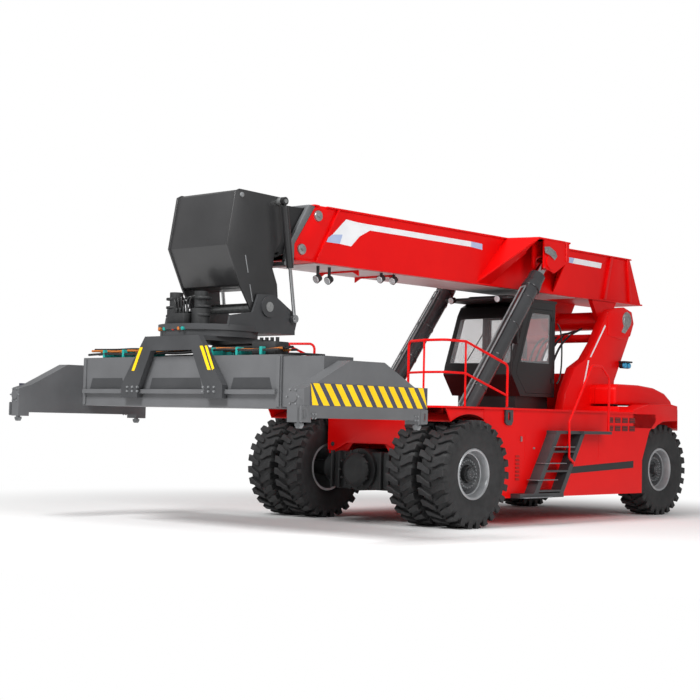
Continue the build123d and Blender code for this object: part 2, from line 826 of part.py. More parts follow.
# ---------------------------------------------------------------- spreader
box_half_x = 2070
box_half_y = 600
box_bottom = 1720
box_top = 2420
box_wall = 20
rail_low = 1900
rail_high = 1960
rail_out = box_half_y + 60
saddle_half_y = rail_out + 45
saddle_plate_in = box_half_y + 15
with BuildPart() as slew_frame:
    rod_z(0, spreader_y, ring_radius, ring_bottom, table_bottom - seat)
    rod_z(0, spreader_y, spigot_radius + seat, ring_bottom - 0.1, table_bottom + 10,
          Mode.SUBTRACT)
    block(-560, 560, spreader_y - saddle_half_y, spreader_y + saddle_half_y, 2640,
          ring_bottom)
    for way in (1, -1):
        for low, high, y_far in (
            (rail_high + 0.3, ring_bottom, saddle_half_y),
        ):
            outline_y(
                [
                    (-560, high), (560, high), (1060, low + 60), (1060, low), (700, low),
                    (430, 2500), (-430, 2500), (-700, low), (-1060, low), (-1060, low + 60),
                ],
                spreader_y + way * saddle_plate_in,
                spreader_y + way * y_far,
            )
        for side in (1, -1):
            block(side * 700, side * 1060, spreader_y + way * (rail_out + 5),
                  spreader_y + way * saddle_half_y, rail_low - 60, rail_high + 1)
            block(side * 700, side * 1060, spreader_y + way * saddle_plate_in,
                  spreader_y + way * saddle_half_y, rail_low - 60, rail_low - seat)
save(slew_frame, "slew_frame")

with BuildPart() as main_box:
    block(-box_half_x, box_half_x, spreader_y - box_half_y, spreader_y + box_half_y,
          box_bottom, box_top)
    for way in (1, -1):
        block(-box_half_x + 60, box_half_x - 60, spreader_y + way * (box_half_y - 5),
              spreader_y + way * rail_out, rail_low, rail_high)
        block(-box_half_x - 10, box_half_x + 10, spreader_y + way * box_wall,
              spreader_y + way * (box_half_y - box_wall), box_bottom + box_wall,
              box_top - box_wall, Mode.SUBTRACT)
save(main_box, "main_box")

end_in = 2800
end_out = 3030
end_bottom = 1600
foot_bottom = 1545
end_half_y = spreader_depth / 2
lock_x = lock_spacing_x / 2
lock_y = lock_spacing_y / 2
beam_side = 5
cut = 60
end_profile = [
    (-end_half_y, end_bottom), (end_half_y, end_bottom), (end_half_y, 1950), (980, 2020),
    (330, 2340), (-330, 2340), (-980, 2020), (-end_half_y, 1950),
]
for side, side_name, way in ((1, "left", -1), (-1, "right", 1)):
    with BuildPart() as telescope:
        block(side * (-1900), side * (end_in + 1), spreader_y + way * (box_wall + beam_side),
              spreader_y + way * (box_half_y - box_wall - beam_side),
              box_bottom + box_wall + seat, box_top - box_wall - beam_side)
        block(side * (-1890), side * (end_in - 40), spreader_y + way * (box_wall + 25),
              spreader_y + way * (box_half_y - box_wall - 25), box_bottom + box_wall + 20,
              box_top - box_wall - 25, Mode.SUBTRACT)
        outline_x([(spreader_y + y, z) for y, z in end_profile], side * end_in,
                  side * end_out)
        for end in (1, -1):
            block(side * end_in, side * end_out, spreader_y + end * (end_half_y - 190),
                  spreader_y + end * end_half_y, foot_bottom, end_bottom)
            outline_z(
                [
                    (side * (end_out + 1), spreader_y + end * (end_half_y - cut)),
                    (side * (end_out + 1), spreader_y + end * (end_half_y + 1)),
                    (side * (end_out - cut), spreader_y + end * (end_half_y + 1)),
                ],
                foot_bottom - 1, 2400, Mode.SUBTRACT,
            )
            rod_z(side * lock_x, spreader_y + end * lock_y, twist_shaft_radius + seat,
                  foot_bottom - 1, 1660, Mode.SUBTRACT)
            rod_z(side * lock_x, spreader_y + end * lock_y, 58, 1655, 1720, Mode.SUBTRACT)
    save(telescope, f"telescope_{side_name}")

for side, side_name in ((1, "left"), (-1, "right")):
    for end, end_name in ((-1, "front"), (1, "rear")):
        with BuildPart() as twistlock:
            x = side * lock_x
            y = spreader_y + end * lock_y
            rod_z(x, y, twist_shaft_radius, 1520, 1700)
            rod_z(x, y, 52, 1655 + seat, 1700)
            outline_y(
                [
                    (x - 50, 1532), (x + 50, 1532), (x + 50, 1505), (x + 22, 1470),
                    (x - 22, 1470), (x - 50, 1505),
                ],
                y - 29, y + 29,
            )
        save(twistlock, f"twistlock_{end_name}_{side_name}")

# ---------------------------------------------------------------- cab
cab_profile = [
    (at_front(2880), cab_floor),
    (at_front(2620), 2420),
    (at_front(2660), 2580),
    (at_front(2990), 3470),
    (at_front(3080), 3620),
    (at_front(3240), cab_roof),
    (at_front(cab_back), cab_roof),
    (at_front(cab_back), cab_floor),
]
door_profile = [
    (at_front(3040), 2120),
    (at_front(2760), 2440),
    (at_front(2790), 2590),
    (at_front(3090), 3420),
    (at_front(3160), 3570),
    (at_front(3800), 3570),
    (at_front(3800), 2120),
]
door_glass_profile = [
    (at_front(2870), 2640),
    (at_front(3150), 3400),
    (at_front(3200), 3500),
    (at_front(3730), 3500),
    (at_front(3730), 2640),
]
door_gap = 6


def cab_outline(points, x_from, x_to, grow, mode=Mode.ADD):
    """A cab outline, grown or shrunk all round, solid between two X planes."""
    with BuildSketch(Plane.YZ.offset(x_from)) as face:
        with BuildLine():
            Polyline(*points, close=True)
        make_face()
        offset(amount=grow, kind=Kind.INTERSECTION)
    extrude(face.sketch, amount=x_to - x_from, mode=mode)


screen_low = (at_front(2660), 2580)
screen_high = (at_front(2990), 3470)


def screen_band(near, far):
    """A strip along the raked windscreen, between two depths behind its outside."""
    return [
        (screen_low[0] + near + 10, screen_low[1] + 40),
        (screen_high[0] + near - 20, screen_high[1] - 60),
        (screen_high[0] + far - 20, screen_high[1] - 60),
        (screen_low[0] + far + 10, screen_low[1] + 40),
    ]


window_half = cab_half - 90
rear_window = (2700, 3450)
with BuildPart() as cab_shell:
    outline_x(cab_profile, -cab_half, cab_half)
    cab_outline(cab_profile, -cab_half + cab_wall, cab_half - cab_wall, -cab_wall,
                Mode.SUBTRACT)
    cab_outline(door_profile, cab_half - cab_wall - 10, cab_half + 10, door_gap,
                Mode.SUBTRACT)
    outline_x(door_glass_profile, -cab_half - 10, -cab_half + cab_wall + 10, Mode.SUBTRACT)
    outline_x(screen_band(-80, 80), -window_half, window_half, Mode.SUBTRACT)
    block(-window_half, window_half, at_front(cab_back) - cab_wall - 10,
          at_front(cab_back) + 10, rear_window[0], rear_window[1], Mode.SUBTRACT)
save(cab_shell, "cab_shell")

with BuildPart() as cab_glass:
    outline_x(screen_band(8, 16), -window_half, window_half)
    block(-window_half, window_half, at_front(cab_back) - 20, at_front(cab_back) - 12,
          rear_window[0], rear_window[1])
    outline_x(door_glass_profile, -cab_half + 12, -cab_half + 20)
save(cab_glass, "cab_glass")

door_hinge_x = cab_half + 14
door_hinge_y = at_front(3825)
with BuildPart() as cab_door:
    outline_x(door_profile, cab_half - cab_wall, cab_half)
    outline_x(door_glass_profile, cab_half - cab_wall - 10, cab_half + 10, Mode.SUBTRACT)
    for z in (2300, 3380):
        rod_z(door_hinge_x, door_hinge_y, 12, z, z + 80)
        block(cab_half, door_hinge_x, at_front(3770), door_hinge_y, z, z + 80)
save(cab_door, "cab_door")

with BuildPart() as door_glass:
    outline_x(door_glass_profile, cab_half - 20, cab_half - 12)
save(door_glass, "door_glass")

with BuildPart() as cab_base:
    block(-620, 620, at_front(2900), at_front(3840), deck_top, cab_floor)
save(cab_base, "cab_base")

with BuildPart() as cab_seat:
    block(-240, 240, at_front(3250), at_front(3700), cab_floor + cab_wall, 2500)
    outline_x(
        [
            (at_front(3620), 2500), (at_front(3750), 2500), (at_front(3790), 3150),
            (at_front(3710), 3150),
        ],
        -230, 230,
    )
save(cab_seat, "cab_seat")

with BuildPart() as cab_console:
    block(-150, 150, at_front(2960), at_front(3080), cab_floor + cab_wall, 2520)
    block(280, 420, at_front(3250), at_front(3650), cab_floor + cab_wall, 2620)
save(cab_console, "cab_console")

with BuildPart() as steering_wheel:
    rod_z(0, at_front(3020), 20, 2520, 2545)
    rod((0, at_front(3020), 2538), (0, at_front(3125), 2671), 20)
    rod((0, at_front(3115), 2657), (0, at_front(3130), 2678), 190)
save(steering_wheel, "steering_wheel")


# ---------------------------------------------------------------- rails and ladder
rail_radius = 20
rail_bend = 90


def tube(points, radius, bend, mode=Mode.ADD):
    """A round tube along straight runs, with one bend radius or one for each corner."""
    with BuildLine(mode=Mode.PRIVATE) as path:
        FilletPolyline(*points, radius=bend)
    with BuildSketch(Plane(origin=points[0], z_dir=Vector(*points[1]) - Vector(*points[0]))) as face:
        Circle(radius)
    sweep(face.sketch, path=path.line, mode=mode)


rail_x = 1880
rail_top = 2810
rail_mid = 2330
rail_front_y = at_front(-600)
rail_turn_y = at_front(-100)
rail_end_y = at_front(960)
with BuildPart() as handrails:
    for side in (1, -1):
        tube(
            [
                (side * 1000, at_front(-390), deck_top),
                (side * 1000, at_front(-390), rail_top),
                (side * 1480, rail_front_y, rail_top),
                (side * rail_x, rail_front_y, rail_top),
                (side * rail_x, rail_turn_y, rail_top),
                (side * rail_x, rail_end_y, rail_top - 310),
                (side * rail_x, rail_end_y, deck_top),
            ],
            rail_radius, rail_bend,
        )
        tube(
            [
                (side * 1000, at_front(-390), rail_mid),
                (side * 1480, rail_front_y, rail_mid),
                (side * rail_x, rail_front_y, rail_mid),
                (side * rail_x, rail_turn_y, rail_mid),
                (side * rail_x, rail_end_y, rail_mid - 310),
            ],
            rail_radius - 2, rail_bend,
        )
        for x, y in ((1480, rail_front_y), (rail_x, rail_turn_y)):
            rod_z(side * x, y, rail_radius - 4, deck_top, rail_top)
save(handrails, "handrails")

ladder_in = side_outer
ladder_out = side_outer + 190
step_low = 500
step_high = 1440
platform_top = step_high + 50
lean = 0.62                    # forward run of the ladder for each unit of height
ladder_foot_y = at_front(1430)
ladder_wide = 700
stringer = 110
tread_sheet = 30
with BuildPart() as ladder:
    for start in (ladder_foot_y, ladder_foot_y + ladder_wide):
        run = (step_high - step_low) * lean
        outline_x(
            [
                (start, step_low), (start + stringer, step_low),
                (start + stringer + run, step_high), (start + run, step_high),
            ],
            ladder_in, ladder_out,
        )
    for share in (0.02, 0.35, 0.68):
        z = step_low + share * (step_high - step_low)
        y = ladder_foot_y + share * (step_high - step_low) * lean
        block(ladder_in, ladder_out, y + 30, y + ladder_wide + 30, z, z + tread_sheet)
    block(ladder_in, ladder_out, at_front(2010), at_front(3540), step_high, platform_top)
    block(ladder_in, ladder_out + 60, at_front(2700), at_front(3540), step_high,
          platform_top)
    block(ladder_in, ladder_out, at_front(1060), ladder_foot_y + ladder_wide + stringer,
          side_bottom, step_low)
save(ladder, "ladder")

gate_x = ladder_out + 30
with BuildPart() as ladder_rail:
    tube(
        [
            (gate_x, at_front(3480), platform_top),
            (gate_x, at_front(3480), 2380),
            (gate_x, at_front(3240), 2570),
            (gate_x, at_front(2960), 2570),
            (gate_x, at_front(2330), 1640),
            (gate_x, at_front(2330), 1060),
            (gate_x, at_front(2480), 970),
            (ladder_out, at_front(2480), 970),
        ],
        rail_radius, [rail_bend, rail_bend, rail_bend, rail_bend, 60, 26],
    )
save(ladder_rail, "ladder_rail")
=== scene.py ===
import math
import random
import bpy
from mathutils import Matrix, Vector


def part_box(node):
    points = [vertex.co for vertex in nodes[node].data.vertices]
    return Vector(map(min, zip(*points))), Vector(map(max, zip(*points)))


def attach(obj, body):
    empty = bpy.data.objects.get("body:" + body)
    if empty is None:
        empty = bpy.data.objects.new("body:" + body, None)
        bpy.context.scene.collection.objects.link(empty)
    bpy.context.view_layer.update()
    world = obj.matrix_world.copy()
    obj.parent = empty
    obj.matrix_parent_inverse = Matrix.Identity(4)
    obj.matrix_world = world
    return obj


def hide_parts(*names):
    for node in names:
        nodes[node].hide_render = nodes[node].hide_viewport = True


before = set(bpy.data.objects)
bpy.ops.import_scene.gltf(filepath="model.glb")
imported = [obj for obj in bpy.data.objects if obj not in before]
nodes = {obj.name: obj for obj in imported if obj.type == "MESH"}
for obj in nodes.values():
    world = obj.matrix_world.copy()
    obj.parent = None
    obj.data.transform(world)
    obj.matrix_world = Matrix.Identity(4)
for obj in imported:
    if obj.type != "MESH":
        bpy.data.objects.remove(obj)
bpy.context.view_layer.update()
print("frame loaded:", len(nodes), "nodes")

# every place along the machine is given from the front axle, in metres, to the rear
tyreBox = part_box("front_tyres_left")
axleY = (tyreBox[0][1] + tyreBox[1][1]) / 2


def at(x, reach, z):
    return Vector((x, axleY + reach, z))


def linear(hexColour):
    # sRGB hex to the linear colour that shaders take
    parts = [int(hexColour[i:i + 2], 16) / 255 for i in (1, 3, 5)]
    return [p / 12.92 if p <= 0.04045 else ((p + 0.055) / 1.055) ** 2.4 for p in parts] + [1]


def addNode(tree, kind, settings=None, links=None, **sockets):
    # one node with its settings, its socket values by name, and links into it
    node = tree.nodes.new(kind)
    for key, value in (settings or {}).items():
        setattr(node, key, value)
    for key, value in sockets.items():
        node.inputs[key.replace("_", " ")].default_value = value
    for key, source in (links or {}).items():
        tree.links.new(source, node.inputs[key])
    return node


def blank(name):
    # a node material with its shader and its texture coordinates
    material = bpy.data.materials.new(name)
    material.use_nodes = True
    tree = material.node_tree
    return material, tree, tree.nodes["Principled BSDF"], addNode(tree, "ShaderNodeTexCoord")


def surface(name, colours, roughness, patch, grain, bump, metallic=0.0, coat=0.0, spread=0.06):
    # colours drift over patches of the given size in metres; a fine grain moves roughness and bump
    material, tree, shader, place = blank(name)
    shader.inputs["Metallic"].default_value = metallic
    shader.inputs["Coat Weight"].default_value = coat
    shader.inputs["Coat Roughness"].default_value = 0.12
    drift = addNode(tree, "ShaderNodeTexNoise", links={"Vector": place.outputs["Object"]},
                    Scale=1 / patch, Detail=5.0, Roughness=0.6)
    ramp = addNode(tree, "ShaderNodeValToRGB", links={"Fac": drift.outputs["Fac"]})
    ramp.color_ramp.elements[0].position = 0.32
    ramp.color_ramp.elements[0].color = linear(colours[0])
    ramp.color_ramp.elements[1].position = 0.68
    ramp.color_ramp.elements[1].color = linear(colours[1])
    tree.links.new(ramp.outputs["Color"], shader.inputs["Base Color"])
    fine = addNode(tree, "ShaderNodeTexNoise", links={"Vector": place.outputs["Object"]},
                   Scale=1 / grain, Detail=2.0)
    sheen = addNode(tree, "ShaderNodeMapRange", links={"Value": fine.outputs["Fac"]},
                    To_Min=roughness - spread, To_Max=roughness + spread)
    tree.links.new(sheen.outputs["Result"], shader.inputs["Roughness"])
    relief = addNode(tree, "ShaderNodeBump", links={"Height": fine.outputs["Fac"]},
                     Strength=bump, Distance=0.002)
    tree.links.new(relief.outputs["Normal"], shader.inputs["Normal"])
    return material


# two-pack enamel sprayed on steel plate: clean, glossy, with a slight orange peel
redEnamel = surface("redEnamel", ("#E00004", "#EE0A06"), 0.36, 1.6, 0.012, 0.04, coat=0.05)
redShader = redEnamel.node_tree.nodes["Principled BSDF"]
redShader.inputs["Specular IOR Level"].default_value = 0.22
# the same enamel, darker as painted shade inside wheel arches and under plates, and rougher
paintedShadeRed = surface("paintedShadeRed", ("#A0140E", "#C41812"), 0.62, 0.35, 0.01, 0.12)
# satin enamel on the spreader's box and arms, mid grey
greyEnamel = surface("greyEnamel", ("#5C5D5F", "#68696B"), 0.42, 0.9, 0.01, 0.08)
# the grey's darker mix for the slewing gear, saddle and cylinders
slateEnamel = surface("slateEnamel", ("#38393B", "#434446"), 0.42, 0.7, 0.01, 0.08)
# semi-gloss black enamel, boom head and cab
blackEnamel = surface("blackEnamel", ("#1B1B1C", "#242425"), 0.36, 0.8, 0.01, 0.06, coat=0.15)
# charcoal enamel on the lift cylinders' barrels, smooth and shiny
barrelEnamel = surface("barrelEnamel", ("#2E2F31", "#3B3C3E"), 0.24, 0.8, 0.01, 0.03, coat=0.5)
# silver wheel paint with a fine flake
silverPaint = surface("silverPaint", ("#A4A6A9", "#B9BBBD"), 0.34, 0.25, 0.004, 0.1, metallic=0.55)
# primer-dark wheel centre
wheelCentre = surface("wheelCentre", ("#353638", "#454648"), 0.45, 0.2, 0.008, 0.12)
# zinc-plated fasteners and lock plates, faintly mottled
zincPlate = surface("zincPlate", ("#9A9C9C", "#BFC1C0"), 0.38, 0.05, 0.004, 0.15, metallic=0.85)
# hard chrome on piston rods
hardChrome = surface("hardChrome", ("#C4C6C8", "#D2D3D4"), 0.12, 0.6, 0.01, 0.01, metallic=1.0,
                     spread=0.02)
# bare ground steel of the band at the boom's mouth
groundSteel = surface("groundSteel", ("#6C6E70", "#7E8082"), 0.4, 0.3, 0.006, 0.12, metallic=0.45)
# sand-cast iron of axle housings and twistlocks, painted black
castBlack = surface("castBlack", ("#1E1F20", "#2B2C2D"), 0.55, 0.2, 0.006, 0.35)
castGrey = surface("castGrey", ("#77797B", "#8B8D8F"), 0.55, 0.15, 0.005, 0.35, metallic=0.2)
# carbon-black rubber of the tyres, with dust in its fine grain
tyreRubber = surface("tyreRubber", ("#1D1D1E", "#2C2C2D"), 0.62, 0.12, 0.008, 0.3)
# smoother moulded sidewall
sideRubber = surface("sideRubber", ("#232324", "#303031"), 0.5, 0.2, 0.01, 0.12)
# rubber hose cover
hoseRubber = surface("hoseRubber", ("#161617", "#222223"), 0.48, 0.05, 0.004, 0.2)
# amber braided hose sleeves
amberSleeve = surface("amberSleeve", ("#A85A1E", "#C57730"), 0.6, 0.02, 0.003, 0.4)
# moulded ABS in the cab
blackAbs = surface("blackAbs", ("#1C1C1D", "#272728"), 0.5, 0.2, 0.002, 0.25)
# retro-reflective vinyl: white field and a pale blue tail
whiteVinyl = surface("whiteVinyl", ("#EEF2F6", "#F8FBFD"), 0.35, 0.3, 0.003, 0.05)
blueVinyl = surface("blueVinyl", ("#A9BCE4", "#BFCDEB"), 0.35, 0.3, 0.003, 0.05)
yellowVinyl = surface("yellowVinyl", ("#F6C800", "#FFD60A"), 0.38, 0.3, 0.003, 0.05)
slateVinyl = surface("slateVinyl", ("#3F4050", "#4A4B5C"), 0.42, 0.3, 0.003, 0.05)
blackVinyl = surface("blackVinyl", ("#1A1A1B", "#232324"), 0.36, 0.3, 0.003, 0.05)
# teal and signal-red moulded clamps and caps on the hydraulics
tealNylon = surface("tealNylon", ("#0E8C86", "#18A29A"), 0.45, 0.03, 0.002, 0.1)
redNylon = surface("redNylon", ("#C41414", "#E02A1E"), 0.45, 0.03, 0.002, 0.1)
# hot-dip galvanised tread plate
galvanised = surface("galvanised", ("#7A7D80", "#9A9DA0"), 0.5, 0.04, 0.006, 0.3, metallic=0.6)
# the boom's lower plate, pale grey: painted light, the reflection of light bounced up from the
# floor
bounceLitUnderside = surface("bounceLitUnderside", ("#C9CACB", "#DADBDC"), 0.42, 0.8, 0.01, 0.05)


def glassPane(name, tint, roughness=0.02, alpha=0.32):
    # thin safety glass: mostly see-through, with a tint that deepens in slow patches
    material, tree, shader, place = blank(name)
    shader.inputs["Roughness"].default_value = roughness
    shader.inputs["IOR"].default_value = 1.5
    film = addNode(tree, "ShaderNodeTexNoise", links={"Vector": place.outputs["Object"]},
                   Scale=1.4, Detail=2.0)
    ramp = addNode(tree, "ShaderNodeValToRGB", links={"Fac": film.outputs["Fac"]})
    ramp.color_ramp.elements[0].color = linear(tint[0])
    ramp.color_ramp.elements[1].color = linear(tint[1])
    tree.links.new(ramp.outputs["Color"], shader.inputs["Base Color"])
    veil = addNode(tree, "ShaderNodeMapRange", links={"Value": film.outputs["Fac"]},
                   To_Min=alpha - 0.06, To_Max=alpha + 0.06)
    tree.links.new(veil.outputs["Result"], shader.inputs["Alpha"])
    return material


cabGlass = glassPane("cabGlass", ("#C6CDD0", "#DDE3E5"), alpha=0.2)
lampLens = glassPane("lampLens", ("#E9EEF2", "#F7FAFC"), 0.08, 0.75)
blueLens = glassPane("blueLens", ("#2FA4D8", "#49B8E6"), 0.1, 0.85)
mirrorGlass = surface("mirrorGlass", ("#B4B8BB", "#C2C6C9"), 0.06, 0.3, 0.01, 0.01, metallic=1.0,
                      spread=0.01)


def wovenCloth(name, colours):
    # coarse seat cloth, woven at 3 mm so that the threads still show
    material, tree, shader, place = blank(name)
    shader.inputs["Roughness"].default_value = 0.9
    shader.inputs["Sheen Weight"].default_value = 0.3
    weave = addNode(tree, "ShaderNodeTexChecker", links={"Vector": place.outputs["Object"]},
                    Scale=1 / 0.003, Color1=linear(colours[0]), Color2=linear(colours[1]))
    tree.links.new(weave.outputs["Color"], shader.inputs["Base Color"])
    relief = addNode(tree, "ShaderNodeBump", links={"Height": weave.outputs["Fac"]},
                     Strength=0.3, Distance=0.001)
    tree.links.new(relief.outputs["Normal"], shader.inputs["Normal"])
    return material


seatCloth = wovenCloth("seatCloth", ("#1F2021", "#343537"))
print("materials made")

def sides(*stems):
    return [f"{stem}_{word}" for stem in stems for word in ("left", "right")]


nodeFinish = {
    redEnamel: ["main_frame", "side_bodies", "deck", "rear_body", "counterweight", "hood_center",
                "boom_towers", "boom_outer", "handrails", "ladder_rail"] + sides("hood"),
    blackEnamel: ["boom_inner", "boom_head", "cab_shell", "cab_door", "cab_base",
                  "damper_barrels"],
    slateEnamel: ["yoke", "slew_frame", "ladder", "lift_brackets"],
    barrelEnamel: ["lift_barrels"],
    greyEnamel: ["main_box"] + sides("telescope"),
    castBlack: ["drive_axle", "steer_axle", "slew_drives"] + sides("knuckle"),
    castGrey: ["engine"] + sides("twistlock_front", "twistlock_rear"),
    zincPlate: ["boom_pin", "head_pins"],
    hardChrome: ["lift_rods", "damper_rods"],
    silverPaint: sides("front_rims", "rear_rim"),
    tyreRubber: sides("front_tyres", "rear_tyre"),
    cabGlass: ["cab_glass", "door_glass"],
    seatCloth: ["cab_seat"],
    blackAbs: ["cab_console", "steering_wheel", "boom_pads", "inner_pads"],
}
for material, names in nodeFinish.items():
    for name in names:
        for holder in nodes[name].material_slots:
            holder.material = material
missing = set(nodes) - {n for names in nodeFinish.values() for n in names}
print("frame painted, left over:", sorted(missing))


def pick(thing):
    bpy.ops.object.select_all(action="DESELECT")
    thing.select_set(True)
    bpy.context.view_layer.objects.active = thing


def added(name, data):
    # a new object in the scene, picked
    thing = bpy.data.objects.new(name, data)
    bpy.context.scene.collection.objects.link(thing)
    pick(thing)
    return thing


def inEdit(thing, *steps):
    # each step is an edit-mode operator run on the whole mesh
    pick(thing)
    bpy.ops.object.mode_set(mode="EDIT")
    for step in steps:
        bpy.ops.mesh.select_all(action="SELECT")
        step()
    bpy.ops.object.mode_set(mode="OBJECT")
    return thing


def outward():
    bpy.ops.mesh.normals_make_consistent(inside=False)


def oblong(u0, u1, v0, v1):
    return [(u0, v0), (u1, v0), (u1, v1), (u0, v1)]


def circle(count, radius):
    turns = [2 * math.pi * k / count for k in range(count)]
    return [(radius * math.cos(a), radius * math.sin(a)) for a in turns]


def soften(thing, edge, segments=2):
    # a bevel on the hard edges only, applied
    if edge > 0:
        bevel = thing.modifiers.new("edges", "BEVEL")
        bevel.width, bevel.segments, bevel.limit_method = edge, segments, "ANGLE"
        pick(thing)
        bpy.ops.object.modifier_apply(modifier="edges")
    return thing


def settle(thing):
    # the place goes into the mesh, and the object back to the origin
    pick(thing)
    bpy.ops.object.transform_apply(location=True, rotation=True, scale=True)
    return thing


def block(low, high, edge=0.006):
    # a box between two corners, its edges softened
    middle = [(a + b) / 2 for a, b in zip(low, high)]
    bpy.ops.object.select_all(action="DESELECT")
    bpy.ops.mesh.primitive_cube_add(size=1, location=middle)
    box = bpy.context.active_object
    box.scale = [abs(b - a) for a, b in zip(low, high)]
    return soften(settle(box), edge)


def rod(start, end, radius, tip=None, sides=24, edge=0.0):
    # a round bar between two points; tip is the radius at its end
    start, end = Vector(start), Vector(end)
    run = end - start
    bpy.ops.object.select_all(action="DESELECT")
    bpy.ops.mesh.primitive_cone_add(vertices=sides, radius1=radius, location=(start + end) / 2,
                                    radius2=radius if tip is None else tip, depth=run.length,
                                    rotation=run.to_track_quat("Z", "Y").to_euler())
    return soften(settle(bpy.context.active_object), edge)


def crossRod(side, inner, outer, spot, radius, tip=None, sides=24, edge=0.0):
    # a round bar along X between two distances from the middle plane, at a (reach, z) spot
    return rod(at(side * inner, *spot), at(side * outer, *spot), radius, tip, sides, edge)


def tube(points, radius, smooth=True, sides=3):
    # a hose or bent pipe through points
    line = bpy.data.curves.new("line", "CURVE")
    line.dimensions, line.bevel_depth, line.bevel_resolution = "3D", radius, sides
    line.use_fill_caps = True
    run = line.splines.new("NURBS" if smooth else "POLY")
    run.points.add(len(points) - 1)
    for point, place in zip(run.points, points):
        point.co = (*place, 1)
    if smooth:
        run.order_u, run.use_endpoint_u, run.resolution_u = 3, True, 5
    added("line", line)
    bpy.ops.object.convert(target="MESH")
    return bpy.context.active_object


def hose(places, radius):
    # a smooth run through (x, reach, z) places
    return tube([at(*place) for place in places], radius)


facing = {
    "x": Matrix(((0, 0, 1, 0), (1, 0, 0, 0), (0, 1, 0, 0), (0, 0, 0, 1))),
    "y": Matrix(((1, 0, 0, 0), (0, 0, -1, 0), (0, 1, 0, 0), (0, 0, 0, 1))),
    "z": Matrix.Identity(4),
}


def plate(axis, outline, low, high, edge=0.004, holes=(), segments=2):
    # an outline filled and given thickness along an axis. Outlines are (reach, z) across X,
    # (x, z) across Y and (x, reach) across Z; low and high along Y are reaches too
    face = bpy.data.curves.new("face", "CURVE")
    face.dimensions, face.fill_mode, face.extrude = "2D", "BOTH", abs(high - low) / 2
    for ring in (outline, *holes):
        loop = face.splines.new("POLY")
        loop.points.add(len(ring) - 1)
        for point, (u, v) in zip(loop.points, ring):
            if axis == "x":
                u += axleY
            if axis == "z":
                v += axleY
            point.co = (u, v, 0, 1)
        loop.use_cyclic_u = True
    sheet = added("face", face)
    middle = (low + high) / 2
    depth = {"x": (middle, 0, 0), "y": (0, middle + axleY, 0), "z": (0, 0, middle)}[axis]
    sheet.matrix_world = Matrix.Translation(depth) @ facing[axis]
    bpy.ops.object.convert(target="MESH")
    sheet = settle(bpy.context.active_object)
    inEdit(sheet, lambda: bpy.ops.mesh.remove_doubles(threshold=0.00005), outward)
    return soften(sheet, edge, segments)


def panel(corners, thickness):
    # a flat plate through corners in space
    mesh = bpy.data.meshes.new("panel")
    mesh.from_pydata([at(*c) for c in corners], [], [range(len(corners))])
    sheet = added("panel", mesh)
    wall = sheet.modifiers.new("wall", "SOLIDIFY")
    wall.thickness, wall.offset = thickness, 0
    bpy.ops.object.modifier_apply(modifier="wall")
    return sheet


def lathe(profile, centre, steps=48):
    # a closed ring of (radius, x) points turned about an X axis through the centre
    mesh = bpy.data.meshes.new("ring")
    count = len(profile)
    mesh.from_pydata([(centre[0] + x, centre[1], centre[2] + r) for r, x in profile],
                     [(i, (i + 1) % count) for i in range(count)], [])
    return inEdit(added("ring", mesh),
                  lambda: bpy.ops.mesh.spin(steps=steps, angle=2 * math.pi, center=centre,
                                            axis=(1, 0, 0)),
                  lambda: bpy.ops.mesh.remove_doubles(threshold=0.0001), outward)


def copied(thing):
    # a second one with its own mesh
    twin = thing.copy()
    twin.data = thing.data.copy()
    bpy.context.scene.collection.objects.link(twin)
    return twin


def piece(name, material, body, things, stands=(), crease=35):
    # joins the things into one named piece that rides on a body and may replace nodes
    things = list(things)
    pick(things[0])
    for thing in things:
        thing.select_set(True)
    if len(things) > 1:
        bpy.ops.object.join()
    whole = bpy.context.active_object
    whole.name = whole.data.name = name
    whole.data.materials.clear()
    whole.data.materials.append(material)
    for face in whole.data.polygons:
        face.material_index = 0
    pick(whole)
    bpy.ops.object.shade_smooth_by_angle(angle=math.radians(crease))
    if stands:
        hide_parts(*stands)
    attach(whole, body)
    return whole

tyre = {
    "radius": 0.815, "base": 0.768, "lugs": 26, "shoulder": 0.22, "skirt": 0.07,
    "rings": (-0.249, 0.243), "twins": (1.19, 1.80), "single": 1.40, "steps": 60,
    "rubber": [(0.385, -0.19), (0.44, -0.225), (0.53, -0.245), (0.64, -0.25), (0.715, -0.24),
               (0.752, -0.215), (0.768, -0.15), (0.768, 0.15), (0.752, 0.215), (0.715, 0.24),
               (0.64, 0.25), (0.53, 0.245), (0.44, 0.225), (0.385, 0.19)],
    # a lug's outline from the middle to the shoulder: along the tread, across it
    "lug": [(0.0, 0.012), (0.075, 0.012), (0.10, 0.075), (0.165, 0.17), (0.185, 0.249),
            (0.075, 0.249), (0.06, 0.17), (0.015, 0.085)],
}


def lugRow(centre, side, start):
    # one row of slanted tread blocks, wrapped round the tyre's shoulder
    base = plate("z", [(a, b - axleY) for a, b in tyre["lug"]], tyre["base"] - 0.012,
                 tyre["radius"], edge=0.0)
    soften(base, 0.008, 1)
    blocks = []
    for i in range(tyre["lugs"]):
        one = copied(base)
        for vertex in one.data.vertices:
            along, across, r = vertex.co
            # the foot of the shoulder's edge reaches down the sidewall
            if across > tyre["shoulder"] and r < tyre["base"]:
                r -= tyre["skirt"]
            a = start + 2 * math.pi * i / tyre["lugs"] + along / tyre["radius"]
            vertex.co = (centre[0] + side * across, centre[1] + r * math.sin(a),
                         centre[2] + r * math.cos(a))
        if side > 0:
            one.data.flip_normals()
        blocks.append(one)
    bpy.data.objects.remove(base)
    return blocks


